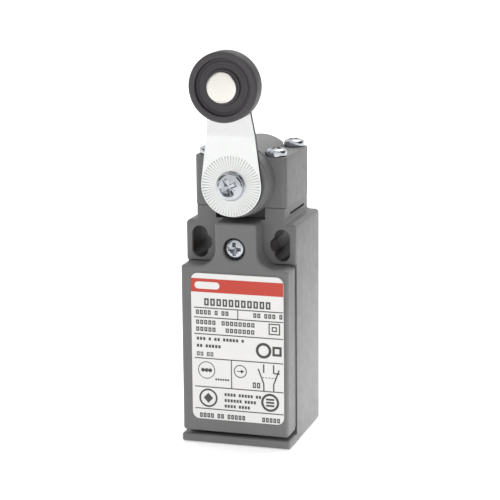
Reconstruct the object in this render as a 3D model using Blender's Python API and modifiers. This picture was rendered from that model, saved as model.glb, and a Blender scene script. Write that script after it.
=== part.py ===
"""Roller-lever limit switch with a narrow plastic body, built as separate pieces.

Every size below is in millimetres, measured from the centre of the underside: +X to the right,
+Y to the back, +Z up. One empty moves the finished switch so that the origin lies on the rear
mounting face, halfway between the two fixing holes. Blender itself works in metres.
"""

import math

import bmesh
import bpy
from mathutils import Matrix, Vector

MM = 0.001

# Body
BODY_HALF = 15.0
REAR_Y = 15.0
FRONT_Y = -15.0
RIM_Y = -7.7
EAR_Y = -8.7
LEDGE_TOP = 2.2
SHOULDER_Z = 59.2
NECK_HALF = 12.0
NECK_REAR_Y = 14.0
NECK_TOP = 63.2
CHAMBER_HALF = 11.6
CHAMBER_FLOOR = 9.0
CHAMBER_TOP = 45.4
FIXING_Z = 53.3
FIXING_X = 10.0
SLOT_X = 11.2
FIXING_RADIUS = 2.15
SLOT_HALF_LENGTH = 4.25
ENTRY_RADIUS = 9.2
ENTRY_Y = 2.2

# Cover
COVER_HALF = 14.6
COVER_BOTTOM = 3.1
COVER_SHOULDER = 48.2
COVER_REAR_Y = -8.0
TAB_HALF = 6.0
TAB_TOP = 60.0
TAB_REAR_Y = -9.0
COVER_WALL = 1.5
HINGE_Y = -12.4
HINGE_Z = 5.2
COVER_SCREW_Z = 53.0

# Head
HEAD_BOTTOM = 63.5
HEAD_TOP = 76.5
HEAD_HALF = 12.4
AXIS_Z = 70.0
DOME_RADIUS = 9.6
DOME_REAR_Y = 11.3
BOSS_FRONT_Y = -14.6
HEAD_SCREW_X = 9.1
HEAD_SCREW_YS = (-5.9, 11.3)
CAM_RADIUS = 4.4
CAM_FLAT = 3.4

# Lever and roller; a "reach" is a distance forward of the plane Y = 0
LEVER_THICKNESS = 1.5
LEVER_BACK_REACH = 15.16
LEVER_LENGTH = 26.0
LEVER_FOOT_RADIUS = 8.05
LEVER_TIP_RADIUS = 4.8
BEND_START_Z = 83.3
BEND_END_Z = 89.0
BEND_OFFSET = 1.24
ROLLER_Z = AXIS_Z + LEVER_LENGTH
ROLLER_RADIUS = 9.0

# Plunger and contacts
PLUNGER_Y = 2.5
PLUNGER_TOP = AXIS_Z - CAM_RADIUS - 0.3
BLOCK_BOTTOM = 16.0
BLOCK_TOP = 45.0
CONTACT_X = 7.2
CONTACT_Y = 4.4
TERMINAL_X = 7.1

ROUND = 40
SMALL_ROUND = 16


def clear_scene():
    for old in list(bpy.data.objects):
        bpy.data.objects.remove(old, do_unlink=True)


def make_collection(name, hidden=False):
    collection = bpy.data.collections.new(name)
    bpy.context.scene.collection.children.link(collection)
    collection.hide_render = hidden
    return collection


clear_scene()
PARTS = make_collection("limit_switch")
TOOLS = make_collection("cutters", hidden=True)


def make_empty(name, centre, parent=None):
    """A reference point. Its place is in the switch's own millimetres."""
    empty = bpy.data.objects.new(name, None)
    empty.empty_display_size = 5 * MM
    PARTS.objects.link(empty)
    empty["centre"] = centre
    start = Vector(parent["centre"]) if parent else Vector((0, 0, 0))
    empty.location = (Vector(centre) - start) * MM
    empty.parent = parent
    return empty


FRAME = make_empty("switch_frame", (0, 0, 0))
FRAME.location = Vector((0, -REAR_Y, -FIXING_Z)) * MM
LEVER_AXIS = make_empty("lever_axis", (0, 0, AXIS_Z), FRAME)
ROLLER_AXIS = make_empty("roller_axis", (0, 0, ROLLER_Z), LEVER_AXIS)
PLUNGER_AXIS = make_empty("plunger_axis", (0, PLUNGER_Y, PLUNGER_TOP), FRAME)
COVER_AXIS = make_empty("cover_axis", (0, HINGE_Y, HINGE_Z), FRAME)


def make_material(name, colour, roughness, metallic=0.0):
    material = bpy.data.materials.new(name)
    material.use_nodes = True
    shader = material.node_tree.nodes["Principled BSDF"]
    shader.inputs["Base Color"].default_value = (*colour, 1)
    shader.inputs["Roughness"].default_value = roughness
    shader.inputs["Metallic"].default_value = metallic
    return material


GREY_PLASTIC = ((0.20, 0.20, 0.205), 0.5)
BLACK_PLASTIC = ((0.035, 0.035, 0.038), 0.45)
ZINC = ((0.78, 0.79, 0.80), 0.3, 1.0)
NICKEL = ((0.80, 0.78, 0.73), 0.25, 1.0)
STEEL = ((0.55, 0.55, 0.56), 0.35, 1.0)
BRASS = ((0.75, 0.58, 0.30), 0.35, 1.0)
SILVER = ((0.85, 0.84, 0.80), 0.25, 1.0)
BRONZE = ((0.55, 0.38, 0.20), 0.45, 1.0)
RUBBER = ((0.02, 0.02, 0.02), 0.8)
CREAM_PLASTIC = ((0.75, 0.72, 0.62), 0.5)
RED_PLASTIC = ((0.45, 0.06, 0.05), 0.45)
LABEL = ((0.78, 0.78, 0.76), 0.35)


# Building blocks: each returns an object whose mesh is in metres


def wrap(name, mesh):
    piece = bpy.data.objects.new(name, mesh)
    TOOLS.objects.link(piece)
    piece.hide_render = True
    piece.display_type = "WIRE"
    piece.parent = FRAME
    return piece


def from_bmesh(name, shape):
    mesh = bpy.data.meshes.new(name)
    shape.to_mesh(mesh)
    shape.free()
    return wrap(name, mesh)


def box(name, xs, ys, zs, bevel=0.0, where=None, segments=3):
    """A box from three (low, high) pairs; `where` picks the edges to round by their midpoints."""
    low, high = Vector((xs[0], ys[0], zs[0])), Vector((xs[1], ys[1], zs[1]))
    size, middle = (high - low) * MM, (high + low) / 2 * MM
    shape = bmesh.new()
    place = Matrix.Translation(middle) @ Matrix.Diagonal((*size, 1))
    bmesh.ops.create_cube(shape, size=1.0, matrix=place)
    if bevel:
        chosen = [edge for edge in shape.edges if where is None or where(midpoint(edge))]
        bmesh.ops.bevel(shape, geom=chosen, offset=bevel * MM, offset_type="OFFSET",
                        segments=segments, profile=0.5, affect="EDGES", clamp_overlap=True)
    return from_bmesh(name, shape)


def midpoint(edge):
    return (edge.verts[0].co + edge.verts[1].co) / 2 / MM


def near(value, target):
    return abs(value - target) < 0.01


DIRECTIONS = {
    "X": Matrix.Rotation(math.pi / 2, 4, "Y"),
    "Y": Matrix.Rotation(-math.pi / 2, 4, "X"),
    "Z": Matrix.Identity(4),
}


def rod(name, axis, centre, radius, span, end_radius=None, segments=SMALL_ROUND):
    """A cylinder or cone along one axis; `span` is where it starts and stops on that axis."""
    index = "XYZ".index(axis)
    middle = Vector(centre)
    middle[index] = (span[0] + span[1]) / 2
    shape = bmesh.new()
    bmesh.ops.create_cone(shape, cap_ends=True, segments=segments, radius1=radius * MM,
                          radius2=(end_radius or radius) * MM, depth=(span[1] - span[0]) * MM,
                          matrix=Matrix.Translation(middle * MM) @ DIRECTIONS[axis])
    return from_bmesh(name, shape)


def turned(name, profile, centre, forward=True, steps=ROUND):
    """A turned piece. Profile points are (radius, height) in millimetres, outer side downwards.

    The height runs up +Z from `centre` or, for `forward` pieces, along -Y from it.
    """
    mesh = bpy.data.meshes.new(name)
    points = [(radius * MM, 0, height * MM) for radius, height in profile]
    closed = profile[0][0] > 0
    edges = [(i, i + 1) for i in range(len(points) - 1)]
    if closed:
        edges.append((len(points) - 1, 0))
    mesh.from_pydata(points, edges, [])
    piece = wrap(name, mesh)
    piece.location = Vector(centre) * MM
    piece.rotation_euler = (math.pi / 2 if forward else 0, 0, 0)
    screw = piece.modifiers.new("turn", "SCREW")
    screw.steps = screw.render_steps = steps
    screw.use_merge_vertices = True
    screw.merge_threshold = 1e-5
    return applied(piece)


def plate(name, outlines, ys):
    """A flat plate in the XZ plane between two Y values. Later outlines are holes in the first."""
    curve = bpy.data.curves.new(name, "CURVE")
    curve.dimensions = "2D"
    curve.fill_mode = "BOTH"
    curve.extrude = (ys[1] - ys[0]) / 2 * MM
    for outline in outlines:
        spline = curve.splines.new("POLY")
        spline.points.add(len(outline) - 1)
        for point, (x, z) in zip(spline.points, outline):
            point.co = (x * MM, z * MM, 0, 1)
        spline.use_cyclic_u = True
    piece = wrap(name, curve)
    piece.location = (0, (ys[0] + ys[1]) / 2 * MM, 0)
    piece.rotation_euler = (math.pi / 2, 0, 0)
    return applied(piece)


def applied(piece):
    """The same shape as a plain welded mesh, with its points measured from the switch's frame."""
    parent, piece.parent = piece.parent, None
    bpy.context.view_layer.update()
    evaluated = piece.evaluated_get(bpy.context.evaluated_depsgraph_get())
    mesh = bpy.data.meshes.new_from_object(evaluated)
    mesh.transform(piece.matrix_world)
    shape = bmesh.new()
    shape.from_mesh(mesh)
    bmesh.ops.remove_doubles(shape, verts=shape.verts, dist=1e-6)
    bmesh.ops.recalc_face_normals(shape, faces=shape.faces)
    shape.to_mesh(mesh)
    shape.free()
    name = piece.name
    bpy.data.objects.remove(piece, do_unlink=True)
    made = wrap(name, mesh)
    made.parent = parent
    return made


def arc(centre, radius, start, stop, count=8):
    """Points of an arc, in degrees, counted anticlockwise from +X."""
    turns = [math.radians(start + (stop - start) * i / count) for i in range(count + 1)]
    return [(centre[0] + radius * math.cos(a), centre[1] + radius * math.sin(a)) for a in turns]


def circle(centre, radius, count=SMALL_ROUND):
    return arc(centre, radius, 0, 360 * (count - 1) / count, count - 1)


def rounded_rectangle(xs, zs, radius):
    corners = ((xs[1], zs[1], 0), (xs[0], zs[1], 90), (xs[0], zs[0], 180), (xs[1], zs[0], 270))
    points = []
    for x, z, start in corners:
        inset_x = x - math.copysign(radius, x)
        inset_z = z - radius if z == zs[1] else z + radius
        points += arc((inset_x, inset_z), radius, start, start + 90, 5)
    return points


def combine(piece, tool, operation):
    modifier = piece.modifiers.new(f"{operation.lower()} {tool.name}", "BOOLEAN")
    modifier.operation = operation
    modifier.solver = "EXACT"
    modifier.object = tool


def cut(piece, *tools):
    for tool in tools:
        combine(piece, tool, "DIFFERENCE")


def join(piece, *tools):
    for tool in tools:
        combine(piece, tool, "UNION")


def finish(piece, finish_values, axis=FRAME):
    """Turns a shape into a finished piece: own material, smooth rounds, and its joint's empty."""
    TOOLS.objects.unlink(piece)
    PARTS.objects.link(piece)
    piece.hide_render = False
    piece.display_type = "TEXTURED"
    piece.parent = axis
    piece.location = piece.location - Vector(axis["centre"]) * MM
    piece.data.materials.clear()
    piece.data.materials.append(make_material(f"{piece.name} finish", *finish_values))
    piece.data.shade_smooth()
    piece.data.set_sharp_from_angle(angle=math.radians(35))
    return piece


def coil(name, centre, radius, wire, zs, turns, points_per_turn=10):
    """A compression spring along Z with nearly flat end turns."""
    curve = bpy.data.curves.new(name, "CURVE")
    curve.dimensions = "3D"
    curve.bevel_depth = wire * MM
    curve.bevel_resolution = 0
    curve.use_fill_caps = True
    count = turns * points_per_turn
    spline = curve.splines.new("POLY")
    spline.points.add(count)
    low, high = zs[0] + wire, zs[1] - wire
    for i, point in enumerate(spline.points):
        share = i / count
        angle = 2 * math.pi * i / points_per_turn
        height = low + (high - low) * share
        point.co = ((centre[0] + radius * math.cos(angle)) * MM,
                    (centre[1] + radius * math.sin(angle)) * MM, height * MM, 1)
    return applied(wrap(name, curve))


def pan_profile(radius, height, shank_radius, length):
    """Half section of a pan-head screw: height 0 is under the head and the shank runs down."""
    return [(0, height), (radius * 0.62, height), (radius * 0.88, height * 0.86),
            (radius, height * 0.55), (radius, 0), (shank_radius, 0),
            (shank_radius, -length + 0.4), (shank_radius - 0.4, -length), (0, -length)]


def pan_screw(name, centre, radius, height, shank_radius, length, forward=True):
    """A cross-recessed pan-head screw whose head seats at `centre`."""
    profile = pan_profile(radius, height, shank_radius, length)
    screw = turned(name, profile, centre, forward, steps=20)
    x, y, z = centre
    arm, half, depth = radius * 0.52, radius * 0.13, height * 0.6
    for label, across, along in (("a", arm, half), ("b", half, arm)):
        if forward:
            ys = (y - height - 1, y - height + depth)
            slot = box(f"{name} recess {label}", (x - across, x + across), ys, (z - along, z + along))
        else:
            zs = (z + height - depth, z + height + 1)
            slot = box(f"{name} recess {label}", (x - across, x + across), (y - along, y + along), zs)
        cut(screw, slot)
    return screw


# Housing


def fixing_hole(side):
    """One fixing hole: an upright slot merged with a round hole nearer the middle."""
    slot = rounded_rectangle((-FIXING_RADIUS, FIXING_RADIUS),
                             (FIXING_Z - SLOT_HALF_LENGTH, FIXING_Z + SLOT_HALF_LENGTH),
                             FIXING_RADIUS - 0.01)
    slot = [(x + side * SLOT_X, z) for x, z in slot]
    name = "right" if side > 0 else "left"
    upright = plate(f"{name} fixing slot", [slot], (EAR_Y - 1, REAR_Y + 1))
    bore = rod(f"{name} fixing bore", "Y", (side * FIXING_X, 0, FIXING_Z), FIXING_RADIUS,
               (EAR_Y - 1.2, REAR_Y + 1.2))
    return upright, bore


def make_housing():
    full = (-BODY_HALF, BODY_HALF)
    housing = box("housing", full, (RIM_Y, REAR_Y), (1.0, SHOULDER_Z), 0.6,
                  lambda m: near(m.y, REAR_Y) and abs(m.x) > 1 or near(m.z, SHOULDER_Z))
    ledge = box("housing ledge", full, (FRONT_Y, REAR_Y), (0, LEDGE_TOP), 0.6,
                lambda m: not near(m.y, REAR_Y))
    ears = box("housing ears", full, (EAR_Y, RIM_Y + 2), (COVER_SHOULDER + 0.3, SHOULDER_Z), 0.8,
               lambda m: near(m.z, SHOULDER_Z) or near(m.y, EAR_Y) and abs(m.x) > 1)
    neck = box("housing neck", (-NECK_HALF, NECK_HALF), (EAR_Y, NECK_REAR_Y),
               (SHOULDER_Z - 2, NECK_TOP), 0.6, lambda m: abs(m.x) > 1 and abs(m.z - 60) < 1.5)
    join(housing, ledge, ears, neck)
    cut(housing, box("wiring chamber", (-CHAMBER_HALF, CHAMBER_HALF), (RIM_Y - 2, CHAMBER_HALF),
                     (CHAMBER_FLOOR, CHAMBER_TOP)))
    cut(housing, rod("cable entry", "Z", (0, ENTRY_Y, 0), ENTRY_RADIUS, (-1, CHAMBER_FLOOR + 1),
                     segments=ROUND))
    for side in (-1, 1):
        cut(housing, *fixing_hole(side))
        cut(housing, box("neck groove", sorted((side * 11.3, side * 12.5)), (-3.5, 11.8), (61.0, 61.7)))
        for y in HEAD_SCREW_YS:
            cut(housing, rod("head screw hole", "Z", (side * HEAD_SCREW_X, y, 0), 1.6, (58.6, 64)))
    cut(housing, rod("plunger guide", "Z", (0, PLUNGER_Y, 0), 2.8, (CHAMBER_TOP - 1, 51)))
    cut(housing, rod("spring bore", "Z", (0, PLUNGER_Y, 0), 4.8, (50, 64), segments=32))
    cut(housing, box("boss notch", (-6.7, 6.7), (EAR_Y - 1, -5.5), (60.0, 64)))
    cut(housing, rod("cover screw hole", "Y", (0, 0, COVER_SCREW_Z), 1.65, (EAR_Y - 1, -4.5)))
    cut(housing, rod("block screw hole", "Y", (0, 0, 13.4), 1.6, (CHAMBER_HALF - 1, 14.0)))
    for side in (-1, 1):
        xs = sorted((side * 8.0, side * 10.0))
        arm = box("hinge arm", xs, (HINGE_Y, RIM_Y + 1), (HINGE_Z - 0.9, HINGE_Z + 0.9))
        eye = rod("hinge eye", "X", (0, HINGE_Y, HINGE_Z), 0.9, xs, segments=16)
        join(housing, arm, eye)
    cut(housing, rod("hinge pin hole", "X", (0, HINGE_Y, HINGE_Z), 0.8, (-10.5, 10.5), segments=16))
    return finish(housing, GREY_PLASTIC)


# Cover


def cover_outline():
    """Front view of the cover: a rectangle with a narrow tab above, joined by hollow corners."""
    fillet = 4.6
    right = [(COVER_HALF, COVER_BOTTOM)]
    right += arc((COVER_HALF - 1, COVER_SHOULDER - 1), 1.0, 0, 90, 3)
    right += arc((TAB_HALF + fillet, COVER_SHOULDER + fillet), fillet, 270, 180, 7)
    right += arc((TAB_HALF - 0.8, TAB_TOP - 0.8), 0.8, 0, 90, 3)
    return right + [(-x, z) for x, z in reversed(right)]


def round_front(piece, width, segments=3):
    """Rounds the front edges of a plate by width millimetres."""
    shape = bmesh.new()
    shape.from_mesh(piece.data)
    front = min(vertex.co.y for vertex in shape.verts)
    rim = [edge for edge in shape.edges if all(abs(v.co.y - front) < 1e-6 for v in edge.verts)
           and len(edge.link_faces) == 2 and any(abs(f.normal.y) < 0.5 for f in edge.link_faces)]
    bmesh.ops.bevel(shape, geom=rim, offset=width * MM, segments=segments, profile=0.5,
                    affect="EDGES")
    shape.to_mesh(piece.data)
    shape.free()


def make_cover():
    cover = plate("cover", [cover_outline()], (FRONT_Y, TAB_REAR_Y))
    round_front(cover, 0.9)
    skirt = box("cover skirt", (-COVER_HALF, COVER_HALF), (TAB_REAR_Y - 1, COVER_REAR_Y),
                (COVER_BOTTOM, COVER_SHOULDER - 0.1))
    hollow = box("cover hollow", (-COVER_HALF + 1.6, COVER_HALF - 1.6),
                 (FRONT_Y + COVER_WALL, COVER_REAR_Y + 1), (COVER_BOTTOM + 1.6, 47.0))
    join(cover, skirt)
    cut(cover, hollow)
    for side in (-1, 1):
        ys = (FRONT_Y + 1.0, HINGE_Y + 0.9)
        zs = (COVER_BOTTOM + 0.8, HINGE_Z + 0.9)
        join(cover, box("cover knuckle", sorted((side * 5.2, side * 7.6)), ys, zs))
        cut(cover, box("arm notch", sorted((side * 7.7, side * 10.3)), (-13.5, -7), (2.5, 5.0)))
    cut(cover, rod("cover pin hole", "X", (0, HINGE_Y, HINGE_Z), 0.8, (-10.4, 10.4), segments=16))
    cut(cover, box("cover heel", (-16, 16), (-8.7, -7), (2.5, 4.4)))
    cut(cover, rod("screw recess", "Y", (0, 0, COVER_SCREW_Z), 3.0, (-16, -12.2), segments=32))
    cut(cover, rod("screw passage", "Y", (0, 0, COVER_SCREW_Z), 1.6, (-13, -8)))
    return finish(cover, GREY_PLASTIC, COVER_AXIS)


def make_cover_gasket():
    outer = rounded_rectangle((-12.8, 12.8), (6.5, 46.8), 1.0)
    inner = rounded_rectangle((-11.7, 11.7), (7.7, 45.6), 0.6)
    return finish(plate("cover_gasket", [outer, inner], (-9.2, RIM_Y - 0.05)), RUBBER, COVER_AXIS)


def make_cover_screw():
    centre = (0, -12.5, COVER_SCREW_Z)
    return finish(pan_screw("cover_screw", centre, 2.7, 2.1, 1.3, 6.6), ZINC, COVER_AXIS)


def make_hinge_pin():
    pin = rod("cover_hinge_pin", "X", (0, HINGE_Y, HINGE_Z), 0.7, (-10, 10), segments=16)
    return finish(pin, STEEL)


def make_nameplate():
    outline = rounded_rectangle((-12.7, 12.7), (6.46, 46.35), 1.9)
    outline = [(x + 0.7, z) for x, z in outline]
    return finish(plate("nameplate", [outline], (FRONT_Y - 0.35, FRONT_Y - 0.05)), LABEL, COVER_AXIS)


# Head


def make_head():
    head = box("head_body", (-HEAD_HALF, HEAD_HALF), (EAR_Y, NECK_REAR_Y), (HEAD_BOTTOM, HEAD_TOP),
               1.6, lambda m: abs(m.x) > 1 and abs(m.z - AXIS_Z) < 1)
    dome = rod("bearing dome", "Y", (0, 0, AXIS_Z), DOME_RADIUS, (EAR_Y, DOME_REAR_Y),
               segments=64)
    boss = rod("shaft boss", "Y", (0, 0, AXIS_Z), 8.6, (BOSS_FRONT_Y, -6.5), 9.4, segments=64)
    join(head, dome)
    cut(head, box("below head", (-16, 16), (-12, 16), (55, HEAD_BOTTOM)))
    join(head, boss)
    cut(head, box("cam chamber", (-6.2, 6.2), (-2.4, 10.4), (58, AXIS_Z)))
    cut(head, rod("cam vault", "Y", (0, 0, AXIS_Z), 6.2, (-2.4, 10.4), segments=32))
    cut(head, rod("bush bore", "Y", (0, 0, AXIS_Z), 5.5, (-16, -2), segments=32))
    cut(head, rod("rear bearing", "Y", (0, 0, AXIS_Z), 2.7, (10, 12.8)))
    for x in (-HEAD_SCREW_X, HEAD_SCREW_X):
        for y in HEAD_SCREW_YS:
            cut(head, rod("head screw bore", "Z", (x, y, 0), 1.65, (62, 79)))
            cut(head, rod("head screw seat", "Z", (x, y, 0), 3.05, (HEAD_TOP, 83)))
    return finish(head, GREY_PLASTIC)


def make_head_gasket():
    gasket = box("head_gasket", (-11.6, 11.6), (-5.0, 13.6), (NECK_TOP + 0.05, HEAD_BOTTOM - 0.05))
    cut(gasket, rod("gasket opening", "Z", (0, PLUNGER_Y, 0), 5.1, (62, 65), segments=32))
    for x in (-HEAD_SCREW_X, HEAD_SCREW_X):
        cut(gasket, rod("gasket hole", "Z", (x, HEAD_SCREW_YS[1], 0), 1.7, (62, 65)))
        cut(gasket, box("gasket corner", sorted((x * 0.78, x * 1.4)), (-6, -3), (62, 65)))
    return finish(gasket, RUBBER)


def make_head_screws():
    places = [(x, y) for y in HEAD_SCREW_YS for x in (-HEAD_SCREW_X, HEAD_SCREW_X)]
    for number, (x, y) in enumerate(places, 1):
        screw = pan_screw(f"head_screw_{number}", (x, y, HEAD_TOP + 0.1), 2.75, 2.0, 1.4, 17.6,
                          forward=False)
        finish(screw, ZINC)


# Shaft


def make_shaft():
    front, journal, cam_front, cam_back, back = 14.9, 3.9, 1.1, -7.5, -12.4
    profile = [(0, front), (journal - 0.3, front), (journal, front - 0.3), (journal, 2.1),
               (3.2, 2.1), (3.2, cam_front), (CAM_RADIUS, cam_front), (CAM_RADIUS, cam_back),
               (2.5, cam_back), (2.5, back), (0, back)]
    shaft = turned("shaft", profile, (0, 0, AXIS_Z), steps=32)
    cut(shaft, rod("lever screw bore", "Y", (0, 0, AXIS_Z), 2.1, (-16, -7.5)))
    cut(shaft, box("cam flat", (-6, 6), (-1.0, 7.4), (60, AXIS_Z - CAM_FLAT)))
    return finish(shaft, STEEL, LEVER_AXIS)


def ring(name, inner, outer, reaches, finish_values, axis, centre=(0, 0, AXIS_Z)):
    """A plain ring on the lever's axis between two reaches."""
    back, front = reaches
    profile = [(inner, front), (outer, front), (outer, back), (inner, back)]
    return finish(turned(name, profile, centre, steps=24), finish_values, axis)


def make_seal():
    """A round-section ring between the shaft and its bore."""
    radius, section, reach = 4.7, 0.65, 12.4
    profile = [(radius + section * math.sin(a), reach + section * math.cos(a))
               for a in (2 * math.pi * i / 8 for i in range(8))]
    return finish(turned("shaft_seal", profile, (0, 0, AXIS_Z), steps=24), RUBBER)


# Lever and roller


def lever_outline():
    """Two circles joined by their outer tangents."""
    lean = math.degrees(math.asin((LEVER_FOOT_RADIUS - LEVER_TIP_RADIUS) / LEVER_LENGTH))
    foot = arc((0, AXIS_Z), LEVER_FOOT_RADIUS, 180 - lean, 360 + lean, 28)
    tip = arc((0, ROLLER_Z), LEVER_TIP_RADIUS, lean, 180 - lean, 16)
    return foot + tip


def make_lever():
    back = -LEVER_BACK_REACH
    holes = [circle((0, AXIS_Z), 2.3), circle((0, ROLLER_Z), 2.1)]
    lever = plate("lever", [lever_outline()] + holes, (back - LEVER_THICKNESS, back))
    shape = bmesh.new()
    shape.from_mesh(lever.data)
    for height in (BEND_START_Z, BEND_END_Z):
        everything = shape.verts[:] + shape.edges[:] + shape.faces[:]
        bmesh.ops.bisect_plane(shape, geom=everything, plane_co=(0, 0, height * MM),
                               plane_no=(0, 0, 1), dist=1e-7)
    for vertex in shape.verts:
        share = (vertex.co.z / MM - BEND_START_Z) / (BEND_END_Z - BEND_START_Z)
        vertex.co.y -= BEND_OFFSET * MM * min(max(share, 0), 1)
    shape.to_mesh(lever.data)
    shape.free()
    return finish(lever, ZINC, LEVER_AXIS)


def make_lever_screw():
    screw = pan_screw("lever_screw", (0, -17.3, AXIS_Z), 3.6, 1.9, 1.9, 9.0)
    return finish(screw, ZINC, LEVER_AXIS)


def make_roller():
    profile = [(2.15, 23.0), (4.4, 23.0), (4.6, 22.8), (4.7, 21.0), (7.1, 21.0), (7.33, 23.0),
               (7.5, 23.2), (8.6, 23.2), (9.0, 22.8), (9.0, 18.7), (8.6, 18.3), (7.4, 18.3),
               (7.2, 19.3), (4.7, 19.3), (4.5, 18.3), (2.15, 18.3)]
    roller = turned("roller", profile, (0, 0, ROLLER_Z))
    return finish(roller, BLACK_PLASTIC, ROLLER_AXIS)


def make_roller_pin():
    profile = [(0, 24.05), (3.4, 24.0), (3.8, 23.85), (3.95, 23.6), (3.95, 23.3), (2.0, 23.3),
               (2.0, 16.1), (2.9, 16.1), (2.6, 15.5), (0, 15.4)]
    return finish(turned("roller_pin", profile, (0, 0, ROLLER_Z), steps=24), NICKEL, LEVER_AXIS)


# Plunger


def make_plunger():
    foot = BLOCK_TOP + 0.2
    profile = [(0, PLUNGER_TOP), (2.6, PLUNGER_TOP - 0.15), (4.2, PLUNGER_TOP - 0.9), (4.2, 62.9),
               (2.5, 62.9), (2.5, foot + 0.4), (2.1, foot), (0, foot)]
    plunger = turned("plunger", profile, (0, PLUNGER_Y, 0), forward=False, steps=24)
    return finish(plunger, RED_PLASTIC, PLUNGER_AXIS)


def make_plunger_spring():
    spring = coil("plunger_spring", (0, PLUNGER_Y), 3.6, 0.4, (50.3, 62.6), 6)
    return finish(spring, STEEL)


# Contact block


def make_contact_base():
    base = box("contact_base", (-10.6, 10.6), (0, 11.3), (BLOCK_BOTTOM, BLOCK_TOP), 0.5, segments=1)
    lug = box("base lug", (-3.2, 3.2), (8.9, 11.3), (11.4, BLOCK_BOTTOM + 1))
    join(base, lug)
    cut(base, box("carrier channel", (-3.3, 3.3), (-1, 8.2), (BLOCK_BOTTOM - 1, BLOCK_TOP + 1)))
    for side in (-1, 1):
        for zs in ((21.2, 28.3), (33.3, 40.0)):
            cut(base, box("contact pocket", sorted((side * 3.0, side * 9.1)), (-1.2, 8.4), zs))
        for z in (18.6, 42.4):
            cut(base, rod("terminal hole", "Y", (side * TERMINAL_X, 0, z), 1.7, (-1, 7)))
    cut(base, rod("base screw hole", "Y", (0, 0, 13.4), 1.7, (8, 12)))
    return finish(base, CREAM_PLASTIC)


def make_base_screw():
    return finish(pan_screw("contact_base_screw", (0, 8.6, 13.4), 2.6, 1.7, 1.4, 5.1), ZINC)


def make_carrier():
    carrier = box("contact_carrier", (-2.9, 2.9), (1.6, 7.2), (22.0, BLOCK_TOP - 0.1))
    for zs in ((25.9, 31.4), (32.4, 38.3)):
        cut(carrier, box("bridge window", (-4, 4), (2.9, 5.9), zs))
    return finish(carrier, BLACK_PLASTIC, PLUNGER_AXIS)


def make_bridge(name, bottom, spring_zs):
    """A moving contact strip with a silver button at each end, and the spring that loads it."""
    bridge = box(name, (-8.4, 8.4), (3.2, 5.6), (bottom, bottom + 0.6))
    for side in (-1, 1):
        join(bridge, rod(f"{name} button", "Z", (side * CONTACT_X, CONTACT_Y, 0), 1.1,
                         (bottom - 0.15, bottom + 0.75), segments=16))
    finish(bridge, SILVER, PLUNGER_AXIS)
    spring = coil(f"{name}_spring", (0, CONTACT_Y), 0.95, 0.2, spring_zs, 5, 8)
    finish(spring, STEEL, PLUNGER_AXIS)


def make_fixed_contact(name, side, leg_bottom, pad_zs, button_zs, screw_z):
    """A bent brass strip: a pad under the terminal screw and a leg that holds a silver button."""
    xs = sorted((side * 4.3, side * 9.8))
    contact = box(name, xs, (-1.1, -0.3), pad_zs)
    leg_xs = sorted((side * 5.7, side * 8.7))
    leg = box(f"{name} leg", leg_xs, (-0.9, 6.0), (leg_bottom, leg_bottom + 0.8))
    button = rod(f"{name} button", "Z", (side * CONTACT_X, CONTACT_Y, 0), 1.1, button_zs, segments=16)
    join(contact, leg, button)
    cut(contact, rod(f"{name} hole", "Y", (side * TERMINAL_X, 0, screw_z), 1.7, (-2, 0)))
    return finish(contact, BRASS)


def make_terminal(name, side, z):
    clamp = box(f"terminal_clamp_{name}", sorted((side * 4.4, side * 9.8)), (-2.2, -1.4),
                (z - 2.5, z + 2.5), 0.3, lambda m: near(m.y, -2.2), segments=1)
    cut(clamp, rod(f"{name} clamp hole", "Y", (side * TERMINAL_X, 0, z), 1.7, (-3, 0)))
    finish(clamp, ZINC)
    screw = pan_screw(f"terminal_screw_{name}", (side * TERMINAL_X, -2.5, z), 2.4, 1.7, 1.4, 8.6)
    finish(screw, ZINC)


def make_contacts():
    make_bridge("bridge_no", 26.2, (27.1, 31.2))
    make_bridge("bridge_nc", 37.4, (32.6, 37.1))
    for label, side in (("left", -1), ("right", 1)):
        make_fixed_contact(f"fixed_contact_no_{label}", side, 21.5, (16.3, 22.3), (21.9, 22.8), 18.6)
        make_fixed_contact(f"fixed_contact_nc_{label}", side, 38.9, (38.9, 44.9), (38.4, 39.3), 42.4)
        make_terminal(f"no_{label}", side, 18.6)
        make_terminal(f"nc_{label}", side, 42.4)


def main():
    make_housing()
    make_cover()
    make_cover_gasket()
    make_cover_screw()
    make_hinge_pin()
    make_nameplate()
    make_head()
    make_head_gasket()
    make_head_screws()
    make_shaft()
    ring("shaft_bush", 4.0, 5.4, (2.5, 11.4), BRONZE, FRAME)
    ring("shaft_clip", 3.3, 5.0, (1.2, 2.0), STEEL, LEVER_AXIS)
    make_seal()
    make_lever()
    ring("lever_washer", 2.2, 3.9, (LEVER_BACK_REACH + LEVER_THICKNESS + 0.06, 17.25), ZINC,
         LEVER_AXIS)
    make_lever_screw()
    make_roller()
    make_roller_pin()
    make_plunger()
    make_plunger_spring()
    make_contact_base()
    make_base_screw()
    make_carrier()
    make_contacts()


main()
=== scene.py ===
# %% [markdown]
# # A roller-lever limit switch, piece by piece
# A limit switch tells a machine that something has arrived: a moving part pushes the roller, the
# lever turns a shaft in the head, and contacts inside the plastic body change over. The solid
# design (sizes, joints, inner pieces) is loaded first and stays fixed. This lesson gives every
# visible piece the fine shape and the finish that its solid only suggests.

# %% Load the fixed design
import math

import bmesh
import bpy
from mathutils import Matrix, Vector


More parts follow.
